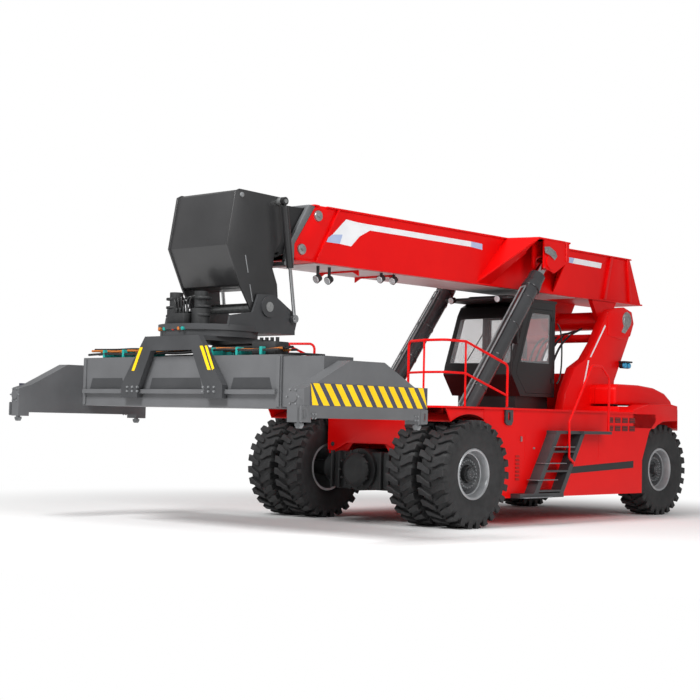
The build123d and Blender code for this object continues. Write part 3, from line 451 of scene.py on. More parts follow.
def wheelTyre(name, body, middles, node):
    # a tyre or a twin pair with two staggered rows of lugs each
    y = axleY if node.startswith("front") else rearAxleY
    parts = []
    for x in middles:
        centre = (x, y, tyre["radius"])
        parts.append(lathe(tyre["rubber"], centre, tyre["steps"]))
        pitch = 2 * math.pi / tyre["lugs"]
        parts += lugRow(centre, 1, 0.0) + lugRow(centre, -1, pitch / 2)
        # a raised moulding ring on each sidewall
        for w in tyre["rings"]:
            parts.append(lathe(oblong(0.60, 0.612, w, w + 0.006), centre, tyre["steps"]))
    piece(name, tyreRubber, body, parts, [node], 30)


# profiles of (radius, distance out of the rim's face), and rings of nuts: count, radius of the
# ring, start, length, radius and tip of a nut
rim = {
    "ring": [(0.388, 0.0), (0.388, 0.012), (0.372, 0.022), (0.352, 0.016), (0.335, -0.02),
             (0.318, -0.10), (0.305, -0.105), (0.305, -0.125), (0.33, -0.125), (0.352, -0.02)],
    "disc": [(0.0, -0.175), (0.12, -0.175), (0.14, -0.135), (0.235, -0.13), (0.262, -0.15),
             (0.306, -0.125), (0.306, -0.16), (0.26, -0.18), (0.13, -0.19), (0.0, -0.19)],
    "hub": [(0.0, -0.03), (0.075, -0.03), (0.088, -0.045), (0.092, -0.14), (0.125, -0.15),
            (0.125, -0.175), (0.0, -0.175)],
    "nuts": ((24, 0.205, 0.132, 0.035, 0.016, 0.013), (8, 0.05, 0.032, 0.012, 0.009, 0.008)),
}


def wheelRim(name, body, faceX, side, y, node, back):
    # flange ring, barrel, recessed disc with its nuts and a stepped hub
    centre = (faceX, y, tyre["radius"])

    def turnedRings(shapes, steps=48):
        return [lathe([(r, side * w) for r, w in shape], centre, steps) for shape in shapes]

    barrel = [(0.384, -0.01), (0.384, back), (0.345, back), (0.345, -0.01)]
    piece(name, silverPaint, body, turnedRings((rim["ring"], barrel)), [node], 30)
    piece(name + "Centre", wheelCentre, body, turnedRings((rim["disc"], rim["hub"]), 40), [], 30)
    nuts = []
    for count, ring, depth, length, radius, tip in rim["nuts"]:
        for up, along in circle(count, ring):
            place = Vector((faceX - side * depth, y + along, tyre["radius"] + up))
            nuts.append(rod(place, place + Vector((side * length, 0, 0)), radius, tip, 6))
    piece(name + "Nuts", castGrey, body, nuts)


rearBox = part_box("rear_tyre_left")
rearAxleY = (rearBox[0][1] + rearBox[1][1]) / 2
for side, word in ((1, "left"), (-1, "right")):
    # the rim's face stands out at the tyre's outer side, and its barrel runs in behind it
    wheelTyre(f"frontTyres{word.title()}", f"front_wheels_{word}",
              [side * x for x in tyre["twins"]], f"front_tyres_{word}")
    wheelRim(f"frontRim{word.title()}", f"front_wheels_{word}", side * 1.985, side, axleY,
             f"front_rims_{word}", -0.98)
    wheelTyre(f"rearTyre{word.title()}", f"rear_wheel_{word}", [side * tyre["single"]],
              f"rear_tyre_{word}")
    wheelRim(f"rearRim{word.title()}", f"rear_wheel_{word}", side * 1.585, side, rearAxleY,
             f"rear_rim_{word}", -0.37)
print("wheels made")

# the tail: bumper block with cut corners, a domed hood in three parts over it
tail = {
    "top": 1.95,
    "middle": [(4.65, 1.70), (4.65, 1.93), (6.40, 1.945), (6.62, 1.935), (6.76, 1.83),
               (6.91, 1.73), (7.03, 1.60), (6.98, 1.52), (6.82, 1.56), (6.72, 1.70)],
    "rim": [(4.60, 1.55), (4.60, 1.86), (5.10, 1.97), (5.90, 1.99), (6.20, 1.95), (6.45, 1.88),
            (6.70, 1.79), (6.90, 1.70), (7.03, 1.60), (6.98, 1.52), (6.82, 1.56), (6.72, 1.70),
            (6.00, 1.70), (5.60, 1.68), (5.42, 1.62), (5.30, 1.55)],
    "corner": (1.9, 6.08, 1.36, 7.03),
    "hood": [(4.65, 1.955), (4.65, 2.26), (4.72, 2.325), (5.45, 2.325), (5.95, 2.29),
             (6.33, 2.20), (6.55, 2.07), (6.63, 1.955)],
}


def tailPart(outline, low, high):
    # a slab of the tail whose rear corners are cut to the chamfer seen from above
    x0, r0, x1, r1 = tail["corner"]
    cuts = [lambda side=side: bpy.ops.mesh.bisect(
        plane_co=(side * x0, r0 + axleY, 0), plane_no=(side * (r1 - r0), x0 - x1, 0),
        clear_outer=True, use_fill=True) for side in (1, -1)]
    slab = inEdit(plate("x", outline, low, high, 0.0), *cuts, outward)
    return soften(slab, 0.045, 4)


piece("tailBody", redEnamel, "chassis",
      [tailPart(tail["middle"], -1.58, 1.58), tailPart(tail["rim"], 1.56, 1.9),
       tailPart(tail["rim"], -1.9, -1.56)], ["rear_body"], 45)


def hoodPart(name, body, node, low, high):
    # a slice of the domed hood between two planes across X, open below
    dome = inEdit(plate("x", tail["hood"], -1.5, 1.5, 0.0),
                  lambda: bpy.ops.mesh.dissolve_limited(angle_limit=0.02))
    planes = (((low, 0, 0), (-1, 0, 0)), ((high, 0, 0), (1, 0, 0)),
              ((0, 0, tail["top"] + 0.02), (0, 0, -1)))
    cuts = [lambda plane=plane: bpy.ops.mesh.bisect(plane_co=plane[0], plane_no=plane[1],
                                                    clear_outer=True, use_fill=False)
            for plane in planes]
    inEdit(soften(dome, 0.09, 4), *cuts, outward)
    wall = dome.modifiers.new("wall", "SOLIDIFY")
    wall.thickness = 0.014
    pick(dome)
    bpy.ops.object.modifier_apply(modifier="wall")
    return piece(name, redEnamel, body, [dome], [node])


hoodPart("hoodMiddle", "chassis", "hood_center", -1.074, 1.074)
hoodPart("hoodLeft", "hood_left", "hood_left", 1.08, 1.6)
hoodPart("hoodRight", "hood_right", "hood_right", -1.6, -1.08)
piece("tailWeight", castBlack, "chassis",
      [block(at(-0.46, 6.50, 0.85), at(0.46, 6.98, 1.71), 0.03),
       block(at(-0.16, 6.9, 0.95), at(0.16, 7.03, 1.0), 0.01),
       block(at(-0.16, 6.9, 1.1), at(0.16, 7.03, 1.15), 0.01),
       rod(at(0, 7.0, 0.9), at(0, 7.0, 1.25), 0.028, edge=0.004)], ["counterweight"])
print("tail made")

# boom: slanted mouth with its steel band, ribs over the foot and webs under the wings
boom = {
    "half": 0.5,
    "mouth": [(-2.44, 3.905), (-2.0, 3.905), (-1.86, 4.13), (-1.5, 4.755), (-2.0, 4.755),
              (-2.44, 4.13)],
    "collar": [(-2.02, 3.9), (-1.985, 3.9), (-1.85, 4.13), (-1.49, 4.76), (-1.53, 4.76),
               (-1.885, 4.13)],
    "ribs": ([(5.72, 3.93), (5.80, 3.93), (6.03, 4.73), (5.94, 4.73)],
             [(6.60, 3.93), (6.68, 3.93), (6.59, 4.73), (6.51, 4.73)]),
    "foot": [(5.75, 3.93), (6.65, 3.93), (6.56, 4.73), (5.97, 4.73)],
    "root": 0.49, "tip": 1.075, "wing": 1.08, "low": 3.93, "high": 4.745, "web": 0.02,
    "band": [(-2.452, 3.80), (-2.452, 4.135), (-2.035, 4.725), (-2.17, 4.725), (-2.59, 4.08),
             (-2.65, 3.80)],
}
half, low, high = boom["half"], boom["low"], boom["high"]
mouth = []
for side in (1, -1):
    mouth.append(plate("x", boom["mouth"], side * (half - 0.012), side * (half + 0.014)))
    mouth.append(plate("x", boom["collar"], side * (half - 0.005), side * (half + 0.045)))
mouth.append(block(at(-half - 0.045, -2.44, 3.9), at(half + 0.045, -2.0, 3.925)))
mouth.append(block(at(-half - 0.04, -2.06, 4.735), at(half + 0.04, -1.95, 4.76)))
for side in (1, -1):
    for rib in boom["ribs"]:
        mouth.append(plate("x", rib, side * (half - 0.005), side * (half + 0.05), 0.008))
    mouth.append(plate("x", boom["foot"], side * (half - 0.005), side * (half + 0.016)))
    # webs before and behind the cylinder's head, kept clear of the rod's eye
    root, tip, inner, wing = (side * boom["root"], side * boom["tip"], side * 0.82,
                              side * boom["wing"])
    for web in ([(root, 1.92, low), (root, 2.70, high), (tip, 2.88, high)],
                [(root, 1.92, low), (root, 2.29, low), (inner, 2.86, 4.50), (inner, 2.86, high),
                 (tip, 2.90, high)],
                [(root, 4.14, low), (root, 4.62, high), (tip, 3.70, high)],
                [(root, 4.14, low), (tip, 3.70, high), (tip, 3.70, 4.42)]):
        mouth.append(panel(web, boom["web"]))
    mouth.append(plate("z", [(root, 2.70), (wing, 2.88), (wing, 3.66), (root, 4.62)], 4.735, 4.76))
piece("boomPlates", redEnamel, "boom", mouth)

steel = [plate("x", boom["band"], side * 0.452, side * 0.525, 0.008) for side in (1, -1)]
steel.append(block(at(-0.52, -2.65, 3.80), at(0.52, -2.45, 3.86)))
steel.append(block(at(-0.52, -2.17, 4.70), at(0.52, -2.04, 4.745)))
piece("boomBand", groundSteel, "boom", steel)

# pale stripe along the side: a wedge with a notch near the mouth, then a thin band to the rear
stripe = {
    "wedge": [(-1.62, 4.36), (-1.33, 4.62), (-1.10, 4.605), (-0.80, 4.60), (-0.05, 4.60),
              (-0.05, 4.51), (-0.78, 4.51), (-1.025, 4.39), (-1.204, 4.222), (-1.46, 4.235),
              (-1.40, 4.38)],
    "tail": [(-1.828, 4.233), (-1.62, 4.36), (-1.40, 4.38), (-1.46, 4.235)],
    "band": [(-0.05, 4.60), (1.75, 4.60), (1.75, 4.51), (-0.05, 4.51)],
    "end": [(1.75, 4.60), (2.054, 4.59), (2.06, 4.49), (1.75, 4.51)],
    "rear": [(4.80, 4.61), (5.70, 4.60), (5.67, 4.50), (4.74, 4.51)],
    "rearTip": [(4.47, 4.61), (4.80, 4.61), (4.74, 4.51), (4.43, 4.52)],
}
for word, material, shapes in (("White", whiteVinyl, ("wedge", "band", "rear")),
                               ("Blue", blueVinyl, ("tail", "end", "rearTip"))):
    piece(f"boomStripe{word}", material, "boom",
          [plate("x", stripe[shape], side * (half + 0.0005), side * (half + 0.0035), 0.0)
           for shape in shapes for side in (1, -1)])

# zinc covers over the pad adjusters, lock plates on the wing and the pivot pin
lock = {
    "covers": ((-1.964, 4.598), (-2.30, 4.068)), "bolts": ((3.09, 4.55), (3.31, 4.49)),
    "wing": [(3.02, 4.60), (3.16, 4.62), (3.34, 4.55), (3.39, 4.47), (3.32, 4.40), (3.18, 4.47),
             (3.05, 4.50)],
    "pivot": [(5.62, 3.30), (5.70, 3.42), (5.70, 3.62), (5.80, 3.69), (5.92, 3.62), (5.94, 3.50),
              (5.85, 3.38), (5.74, 3.28)],
}
covers, pivots = [], []
for side in (1, -1):
    for spot in lock["covers"]:
        covers.append(crossRod(side, 0.51, 0.545, spot, 0.085, 0.078, 32, 0.004))
        covers.append(crossRod(side, 0.545, 0.56, spot, 0.028, sides=6))
    covers.append(plate("x", lock["wing"], side * 1.085, side * 1.105))
    pivots.append(plate("x", lock["pivot"], side * 0.985, side * 1.005))
    covers += [crossRod(side, 1.105, 1.12, spot, 0.022, sides=6) for spot in lock["bolts"]]
piece("lockPlates", zincPlate, "boom", covers)
piece("pivotPlates", zincPlate, "chassis", pivots)

# work lamps on their brackets under the boom's left edge
workLamps = ((0.30, -1.715, 3.70), (0.30, -1.465, 3.70), (0.44, -0.43, 3.80), (0.44, -0.13, 3.80))
bodies, lenses = [], []
for x, reach, z in workLamps:
    bodies.append(rod(at(x, reach + 0.05, z + 0.02), at(x, reach - 0.035, z - 0.02), 0.05, 0.065,
                      24, 0.004))
    bodies.append(block(at(x - 0.012, reach - 0.02, z + 0.03), at(x + 0.012, reach + 0.03, 3.905)))
    lenses.append(rod(at(x, reach - 0.033, z - 0.019), at(x, reach - 0.045, z - 0.025), 0.056, 0.05,
                      24))
piece("lampBodies", blackAbs, "boom", bodies)
piece("lampLenses", lampLens, "boom", lenses)
bracket = [(-0.42, 3.902), (-0.42, 3.80), (-0.30, 3.86), (0.3, 3.86), (0.42, 3.80), (0.42, 3.902)]
piece("lampBrackets", redEnamel, "boom",
      [plate("y", bracket, reach - 0.012, reach + 0.012) for reach in (-0.93, -0.09)])
# painted bounce light: a pale sheet on the boom's lower face
piece("boomUndersideBounceLight", bounceLitUnderside, "boom",
      [block(at(-0.455, -1.98, 3.889), at(0.455, 4.9, 3.899), 0.0)])
print("boom made")

# towers: plates with a curved front edge, capped thick at the pivot
tower = {
    "edge": [(3.80, 1.835), (3.89, 2.14), (4.145, 2.59), (4.505, 2.76), (4.79, 3.06),
             (5.025, 3.40), (5.16, 3.59), (5.33, 3.70), (5.70, 3.755), (5.96, 3.69),
             (6.04, 3.48), (5.90, 3.20), (5.43, 2.40), (5.40, 1.835)],
    "cap": [(5.18, 3.22), (5.16, 3.56), (5.36, 3.70), (5.70, 3.76), (5.97, 3.69), (6.045, 3.48),
            (5.93, 3.24), (5.60, 3.16)],
    "lines": ([(4.62, 2.80), (4.66, 2.80), (5.12, 3.38), (5.09, 3.40)],
              [(4.42, 2.30), (4.46, 2.30), (4.60, 2.74), (4.56, 2.74)]),
    "lamps": (5.62, 5.75),
}
towers, edging = [], []
for side in (1, -1):
    towers.append(plate("x", tower["edge"], side * 0.80, side * 0.98, 0.012))
    towers.append(plate("x", tower["cap"], side * 0.79, side * 0.995, 0.01))
    edging += [plate("x", line, side * 0.981, side * 0.984, 0.0) for line in tower["lines"]]
towers += [rod(at(-0.82, 5.05, 3.16), at(0.82, 5.05, 3.16), 0.075),
           block(at(-0.82, 4.35, 1.9), at(0.82, 4.40, 2.5), 0.01)]
piece("towerPlates", redEnamel, "chassis", towers, ["boom_towers"])
piece("towerEdging", whiteVinyl, "chassis", edging)
piece("towerLamp", blackAbs, "chassis",
      [block(at(0.97, 5.56, 2.74), at(1.12, 5.82, 2.77), 0.008)]
      + [crossRod(1, 0.98, 1.06, (r, 2.69), 0.05, 0.056) for r in tower["lamps"]])
piece("towerLampGlass", blueLens, "chassis",
      [crossRod(1, 1.06, 1.10, (r, 2.69), 0.056, 0.05, edge=0.004) for r in tower["lamps"]])

# boom head: a folded box tapering to the spreader's hinge
headEnamel = surface("headEnamel", ("#2A2A2B", "#333334"), 0.33, 0.8, 0.01, 0.06, coat=0.2)
head = {
    "cheek": [(-2.80, 4.755), (-3.66, 4.78), (-3.74, 4.74), (-3.88, 3.98), (-3.60, 3.42),
              (-3.36, 3.06), (-3.22, 2.995), (-2.96, 2.995), (-2.84, 3.12), (-2.88, 3.50),
              (-2.98, 3.72), (-2.95, 3.95), (-2.84, 4.10), (-2.80, 4.3)],
    "skin": [(-2.80, 4.745), (-3.655, 4.77), (-3.725, 4.735), (-3.865, 3.98), (-3.60, 3.44),
             (-3.40, 3.42), (-3.40, 3.45), (-3.58, 3.47), (-3.83, 3.98), (-3.695, 4.715),
             (-3.65, 4.745), (-2.80, 4.72)],
    "welds": (((-3.52, 3.86), (-3.46, 3.62)), ((-3.42, 3.46), (-3.36, 3.22))),
}
walls = [plate("x", head["cheek"], side * 0.605 - 0.015, side * 0.605 + 0.015)
         for side in (1, -1)]
walls += [plate("x", head["skin"], -0.6, 0.6, 0.006),
          block(at(-0.6, -3.02, 3.74), at(0.6, -2.99, 4.0)),
          block(at(-0.6, -3.42, 3.42), at(0.6, -3.0, 3.45))]
walls += [crossRod(side, 0.56, 0.635, (-3.1, 3.16), 0.16, sides=40) for side in (1, -1)]
piece("headBox", headEnamel, "inner_boom", walls, ["boom_head"])
piece("headWelds", castGrey, "inner_boom",
      [rod(at(side * 0.619, *a), at(side * 0.619, *b), 0.009, sides=8)
       for side in (1, -1) for a, b in head["welds"]]
      + [crossRod(side, 0.615, 0.64, (-3.62, 4.70), 0.035, sides=20, edge=0.004)
         for side in (1, -1)])
print("tower and head made")

# hazard stripes on the outer face of each end beam, and what is bolted to the beams
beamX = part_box("telescope_left")[1][0]
hazard = {"front": -4.655, "rear": -2.39, "low": 1.755, "high": 2.035, "bars": 12, "lean": 0.20,
          "lead": 0.16, "share": 0.55}
casting = {"places": (-4.75, -2.45), "half": 0.075, "hole": 0.03, "boreX": 2.90, "boreZ": 1.86}


def slantedBar(h, i):
    # one bar leaning back as it falls, cut off at the ends of the field
    pitch = (h["rear"] - h["front"] + h["lead"]) / h["bars"]
    start = h["front"] - h["lead"] + i * pitch
    end, low, high = start + pitch * h["share"], h["low"] + 0.004, h["high"] - 0.004
    shape = [(start, high), (end, high), (end + h["lean"], low), (start + h["lean"], low)]
    return [(min(max(r, h["front"] + 0.002), h["rear"] - 0.002), z) for r, z in shape]


for word, side in (("Left", 1), ("Right", -1)):
    body = "telescope_" + word.lower()
    piece(f"hazardField{word}", slateVinyl, body,
          [plate("x", oblong(hazard["front"], hazard["rear"], hazard["low"], hazard["high"]),
                 side * (beamX + 0.0005), side * (beamX + 0.003), 0.0)])
    piece(f"hazardBars{word}", yellowVinyl, body,
          [plate("x", slantedBar(hazard, i), side * (beamX + 0.003), side * (beamX + 0.0055), 0.0)
           for i in range(hazard["bars"])])
    castings, nuts = [], []
    for reach, inward in zip(casting["places"], (1, -1)):
        a, b = casting["half"], casting["hole"]
        castings.append(plate("x", oblong(reach - a, reach + a, 1.55, 1.75),
                              side * (beamX - 0.02), side * (beamX + 0.012), 0.02,
                              [oblong(reach - b, reach + b, 1.60, 1.70)]))
        for k in range(4):
            spot = (reach + inward * (0.14 + 0.05 * (k % 2)), 1.60 + 0.05 * (k // 2))
            nuts.append(crossRod(side, beamX + 0.001, beamX + 0.017, spot, 0.013, sides=6))
    # bore ring and bolt heads on the beam's front end
    x, z = side * casting["boreX"], casting["boreZ"]
    castings.append(rod(at(x, -4.819, z), at(x, -4.832, z), 0.075, 0.07))
    nuts += [rod(at(x + u, -4.819, z + v), at(x + u, -4.832, z + v), 0.012, sides=6)
             for u, v in circle(6, 0.1)]
    piece(f"cornerCastings{word}", greyEnamel, body, castings)
    piece(f"beamNuts{word}", castGrey, body, nuts)

# spreader's main box: dark panels with slanted ends on the recessed band, painted shade under the
# rail's ledge, and end ribs
ledgeShade, ribs = [], []
for y, way in ((-4.2, -1), (-3.0, 1)):
    for x0, x1 in ((-1.9, -1.12), (-0.55, 0.55), (1.12, 1.9)):
        ledgeShade.append(plate("y", [(x0, 1.97), (x1, 1.97), (x1 - 0.05, 2.12), (x0 + 0.05, 2.12)],
                            y + way * 0.0005, y + way * 0.004, 0.0))
    ribs += [plate("y", oblong(x - 0.03, x + 0.03, 1.74, 2.40), y, y + way * 0.02)
             for x in (-2.02, 2.02)]
piece("boxLedgeShade", slateEnamel, "spreader", ledgeShade)
piece("boxRibs", greyEnamel, "spreader", ribs)

# yellow edge marks and bolt rows on the saddle's legs, and the slewing ring's bolts
saddle = {"y": -4.309, "centre": -3.6, "legs": 0.705, "ring": 0.66,
          "marks": ([(0.60, 2.55), (0.66, 2.55), (0.83, 2.22), (0.77, 2.22)],
                    [(-0.60, 2.55), (-0.66, 2.55), (-0.83, 2.22), (-0.77, 2.22)],
                    [(0.70, 2.55), (0.745, 2.55), (0.90, 2.24), (0.86, 2.22)])}
piece("saddleMarks", yellowVinyl, "slew_frame",
      [panel([(x, saddle["y"], z) for x, z in mark], 0.004) for mark in saddle["marks"]])
bolts = []
for side in (1, -1):
    for way in (1, -1):
        for k in range(6):
            place = at(side * (0.69 + 0.11 * (k % 3)), saddle["centre"] + way * saddle["legs"],
                       1.93 + 0.06 * (k // 3))
            bolts.append(rod(place, place + Vector((0, way * 0.022, 0)), 0.017, 0.015, 6))
bolts += [rod(at(u, saddle["centre"] + v, 2.79), at(u, saddle["centre"] + v, 2.80), 0.015, sides=6)
          for u, v in circle(36, saddle["ring"])]
piece("saddleBolts", castGrey, "slew_frame", bolts)

# hydraulic hoses along the top of the box, with their clamps and valve blocks
hoses, sleeves = [], []
random.seed(7)
for k in range(7):
    y = -4.17 + 0.055 * k
    points = []
    for j in range(15):
        x = -1.98 + 3.96 * j / 14
        sag = 0.045 * abs(math.sin(3.1 * j + k)) + random.uniform(0, 0.03)
        points.append((x, y + random.uniform(-0.015, 0.015), 2.455 + 0.012 * (k % 3) + sag))
    (sleeves if k in (1, 4) else hoses).append(hose(points, 0.017))
for k in range(4):
    y = -3.22 - 0.06 * k
    hoses.append(hose([(-1.9, y, 2.455), (-1.3, y - 0.03, 2.47), (-0.4, y + 0.03, 2.48),
                       (0.5, y, 2.46), (1.3, y + 0.05, 2.49), (1.9, y, 2.455)], 0.017))
piece("boxHoses", hoseRubber, "spreader", hoses)
piece("boxSleeves", amberSleeve, "spreader", sleeves)
piece("boxClamps", tealNylon, "spreader",
      [block(at(x - 0.022, -4.195, 2.42), at(x + 0.022, -3.80, 2.53))
       for x in (-1.62, -1.18, -0.72, 0.72, 1.2, 1.66)])
piece("boxValves", castBlack, "spreader",
      [block(at(1.42, -4.12, 2.42), at(1.86, -3.86, 2.60), 0.012),
       block(at(-1.72, -3.6, 2.42), at(-1.36, -3.42, 2.52), 0.012)]
      + [rod(at(1.48 + 0.1 * k, -4.0, 2.60), at(1.48 + 0.1 * k, -4.0, 2.66), 0.026, sides=12)
         for k in range(4)])

# slewing gear: valve block, fittings and hose loops between the two motors
piece("slewValve", castBlack, "yoke",
      [block(at(-0.16, -4.22, 2.86), at(0.16, -4.02, 3.02), 0.012)]
      + [rod(at(-0.11 + 0.075 * k, -4.12, 3.02), at(-0.11 + 0.075 * k, -4.12, 3.10), 0.022,
             sides=12, edge=0.003) for k in range(4)])
loops = []
for k in range(6):
    x = -0.14 + 0.055 * k
    loops.append(hose([(x, -4.1, 3.08), (x, -4.12, 3.22 + 0.02 * (k % 3)), (x * 2.2, -4.06, 3.26),
                       (x * 2.6, -3.96, 3.16), (x * 2.4, -3.9, 2.95)], 0.014))
piece("slewHoses", hoseRubber, "yoke", loops)
for word, material, x in (("Orange", amberSleeve, -0.26), ("Teal", tealNylon, -0.16),
                          ("Red", redNylon, 0.02), ("Amber", amberSleeve, 0.14),
                          ("Green", tealNylon, 0.22)):
    piece(f"cap{word}", material, "yoke",
          [rod(at(x, -4.25, 2.80), at(x, -4.31, 2.80), 0.024, sides=12, edge=0.003)])
piece("motorRings", castBlack, "yoke",
      [rod(at(x, -4.0, z), at(x, -4.0, z + 0.035), 0.118, sides=28, edge=0.006)
       for x in (-0.3, 0.3) for z in (2.98, 3.10, 3.22)])
print("spreader made")

# chassis: nose plate with chamfered corners and an arched lower edge
nose = {
    "outline": [(-0.84, 1.10), (-0.66, 1.10), (-0.42, 1.22), (0.42, 1.22), (0.66, 1.10),
                (0.84, 1.10), (0.84, 1.70), (0.74, 1.79), (-0.74, 1.79), (-0.84, 1.70)],
    "bolts": (-0.72, 0.72),
}
piece("nosePlate", redEnamel, "chassis", [plate("y", nose["outline"], -0.20, -0.165, 0.012)])
piece("noseBolts", castBlack, "chassis",
      [rod(at(x, -0.20, 1.20), at(x, -0.215, 1.20), 0.035, sides=20, edge=0.003)
       for x in nose["bolts"]])

# a curved guard over each twin pair, following the arch of the body up to the deck
guard = {"inner": 0.90, "outer": 0.915, "turns": range(-30, 87, 6), "hub": 0.815}
inner, outer = ([(guard[key] * math.sin(math.radians(d)),
                  guard["hub"] + guard[key] * math.cos(math.radians(d))) for d in guard["turns"]]
                for key in ("inner", "outer"))
# the guards' darker red is painted shade under the arch, over the tyres
piece("mudguards", paintedShadeRed, "chassis",
      [plate("x", inner + outer[::-1], side * 0.95, side * 1.895, 0.0) for side in (1, -1)])
piece("archCheeks", redEnamel, "chassis",
      [plate("x", [(-0.56, 1.795)] + inner[:-2] + [(0.9, 1.2), (0.9, 1.795)],
             side * 1.872, side * 1.896) for side in (1, -1)])

# cast housing of the drive axle: domed cover, ribs and a ring of bolts
axle = {"z": 0.815, "ribs": (-0.60, -0.44, 0.44, 0.60), "bolts": 14, "ring": 0.295}
housing = [block(at(-0.62, -0.30, 0.50), at(0.62, 0.20, 1.10), 0.06),
           rod(at(0, -0.44, axle["z"]), at(0, -0.50, axle["z"]), 0.27, 0.20, 40, 0.012)]
housing += [block(at(x - 0.015, -0.36, 0.52), at(x + 0.015, -0.28, 1.10)) for x in axle["ribs"]]
housing += [rod(at(u, -0.455, axle["z"] + v), at(u, -0.485, axle["z"] + v), 0.018, sides=6)
            for u, v in circle(axle["bolts"], axle["ring"])]
piece("axleHousing", castBlack, "chassis", housing)

# side bodies: blank black band, louvres, grilles, door panels a few millimetres proud
flank = {
    "x": 1.9005, "band": [(2.66, 0.79), (4.62, 0.87), (4.62, 0.99), (2.66, 0.90)],
    "louvres": 7, "grilles": (3.79, 4.02, 4.25, 4.48), "rows": (1.50, 1.64), "wide": 0.17,
    "doors": ((1.42, 1.98), (3.52, 4.60)),
}
bands, slats, grilleShade, doors = [], [], [], []
for side in (1, -1):
    x = flank["x"]
    bands.append(plate("x", flank["band"], side * x, side * (x + 0.003), 0.0))
    for k in range(flank["louvres"]):
        z = 0.735 + 0.06 * k
        slats.append(panel([(side * 1.902, 1.17, z), (side * 1.902, 1.27, z),
                            (side * 1.916, 1.27, z - 0.03), (side * 1.916, 1.17, z - 0.03)],
                           0.006))
    for z in flank["rows"]:
        for reach in flank["grilles"]:
            end = reach + flank["wide"]
            # a black sheet behind each grille's slats: painted shade for the grille's hollow
            grilleShade.append(plate("x", oblong(reach, end, z, z + 0.09), side * x,
                                  side * (x + 0.004), 0.0))
            for low in (z + 0.015, z + 0.043, z + 0.071):
                slats.append(plate("x", oblong(reach, end, low, low + 0.008),
                                   side * (x + 0.004), side * (x + 0.012), 0.0))
    doors += [plate("x", oblong(a, b, 1.02, 1.42), side * (x - 0.003), side * (x + 0.002), 0.0)
              for a, b in flank["doors"]]
piece("sideBands", blackVinyl, "chassis", bands)
piece("sideDoors", redEnamel, "chassis", doors)
# the slats take the darker red of painted shade
piece("sideSlats", paintedShadeRed, "chassis", slats)
piece("sideGrilleShade", blackVinyl, "chassis", grilleShade)
# a handle, which on the right side is flat, and a small latch on each side
piece("sideLatches", zincPlate, "chassis",
      [block(at(a, 1.29, 1.31), at(b, 1.315, 1.39), 0.004)
       for a, b in ((1.90, 1.93), (-1.93, -1.93))]
      + [block(at(a, 1.64, 1.19), at(b, 1.68, 1.22), 0.003)
         for a, b in ((1.90, 1.915), (-1.915, -1.90))])
piece("railHolder", slateEnamel, "chassis",
      [plate("x", [(0.86, 1.60), (0.92, 1.56), (1.02, 1.56), (1.06, 1.62), (1.06, 1.84),
                   (0.86, 1.84)], 1.902, 1.935, 0.006, [oblong(0.93, 0.99, 1.64, 1.76)])])

# galvanised treads laid on the ladder's steps
treads = [block(at(1.905, 1.12, 0.432), at(2.15, 1.85, 0.448), 0.003)]
for k in range(1, 4):
    reach, z = 1.16 + 0.24 * k, 0.44 + 0.262 * k
    treads.append(block(at(1.93, reach + 0.05, z), at(2.13, reach + 0.62, z + 0.012), 0.003))
piece("ladderTreads", galvanised, "chassis", treads)

# lift cylinders: two hard pipes, clamps along each barrel and the gland at its end
barrel = {"x": 0.93, "foot": (0.88, 1.45), "head": (3.00, 4.06), "bend": 0.13, "lift": 0.175,
          "clamps": (0.9, 1.6, 2.3, 2.9), "gland": 3.22}
run = Vector((0, barrel["head"][0] - barrel["foot"][0], barrel["head"][1] - barrel["foot"][1]))
run.normalize()
up = Vector((0, -run.z, run.y))
pipes, glands = [], []
for side in (1, -1):
    foot = at(side * barrel["x"], *barrel["foot"])
    for aside in (-0.045, 0.045):
        shift, low = up * barrel["lift"] + Vector((aside, 0, 0)), up * barrel["bend"]
        pipes.append(tube([foot + run * 0.35 + low] + [foot + run * along + shift
                                                       for along in (0.42, 1.4, 2.5, 3.0)]
                          + [foot + run * 3.08 + low], 0.013, False))
    for along in barrel["clamps"]:
        glands.append(rod(foot + run * (along - 0.02), foot + run * (along + 0.02), 0.152,
                          sides=36, edge=0.004))
    head = foot + run * barrel["gland"]
    glands.append(rod(head - run * 0.10, head + run * 0.04, 0.165, 0.158, 36, 0.006))
piece("liftPipes", castGrey, "lift_barrels", pipes)
piece("liftGlands", barrelEnamel, "lift_barrels", glands)
print("chassis made")

# cab: roof cap, grab rails, wiper, mirror, lamps, mounts and levers
piece("cabRoof", blackAbs, "chassis",
      [plate("z", [(-0.75, 2.66), (-0.68, 2.55), (0.68, 2.55), (0.75, 2.66), (0.75, 3.93),
                   (-0.75, 3.93)], 3.695, 3.745, 0.02, segments=3),
       block(at(-0.45, 2.9, 3.74), at(0.45, 3.6, 3.80), 0.03)])
piece("cabGrabs", blackAbs, "chassis",
      [hose([(0.72, 2.60, 2.35), (0.80, 2.52, 2.4), (0.80, 2.52, 3.2), (0.72, 2.62, 3.25)], 0.014),
       hose([(0.77, 3.90, 2.3), (0.82, 3.98, 2.35), (0.82, 3.98, 3.3), (0.77, 3.90, 3.35)], 0.014),
       hose([(0.70, 2.60, 3.30), (0.92, 2.42, 3.34), (0.95, 2.40, 3.2)], 0.012),
       rod(at(-0.2, 2.60, 2.66), at(0.14, 2.60, 3.12), 0.008, sides=8)])
piece("cabMirror", blackAbs, "chassis", [block(at(0.84, 2.36, 2.92), at(1.04, 2.41, 3.22), 0.02)])
piece("cabMirrorGlass", mirrorGlass, "chassis",
      [block(at(0.86, 2.411, 2.94), at(1.02, 2.414, 3.20), 0.001)])
roofLamps = {"x": (-0.5, 0.5), "reach": 2.55, "z": 3.72}
r, z = roofLamps["reach"], roofLamps["z"]
piece("cabLamps", blackAbs, "chassis",
      [rod(at(x, r + 0.04, z), at(x, r - 0.05, z - 0.02), 0.05, 0.06) for x in roofLamps["x"]])
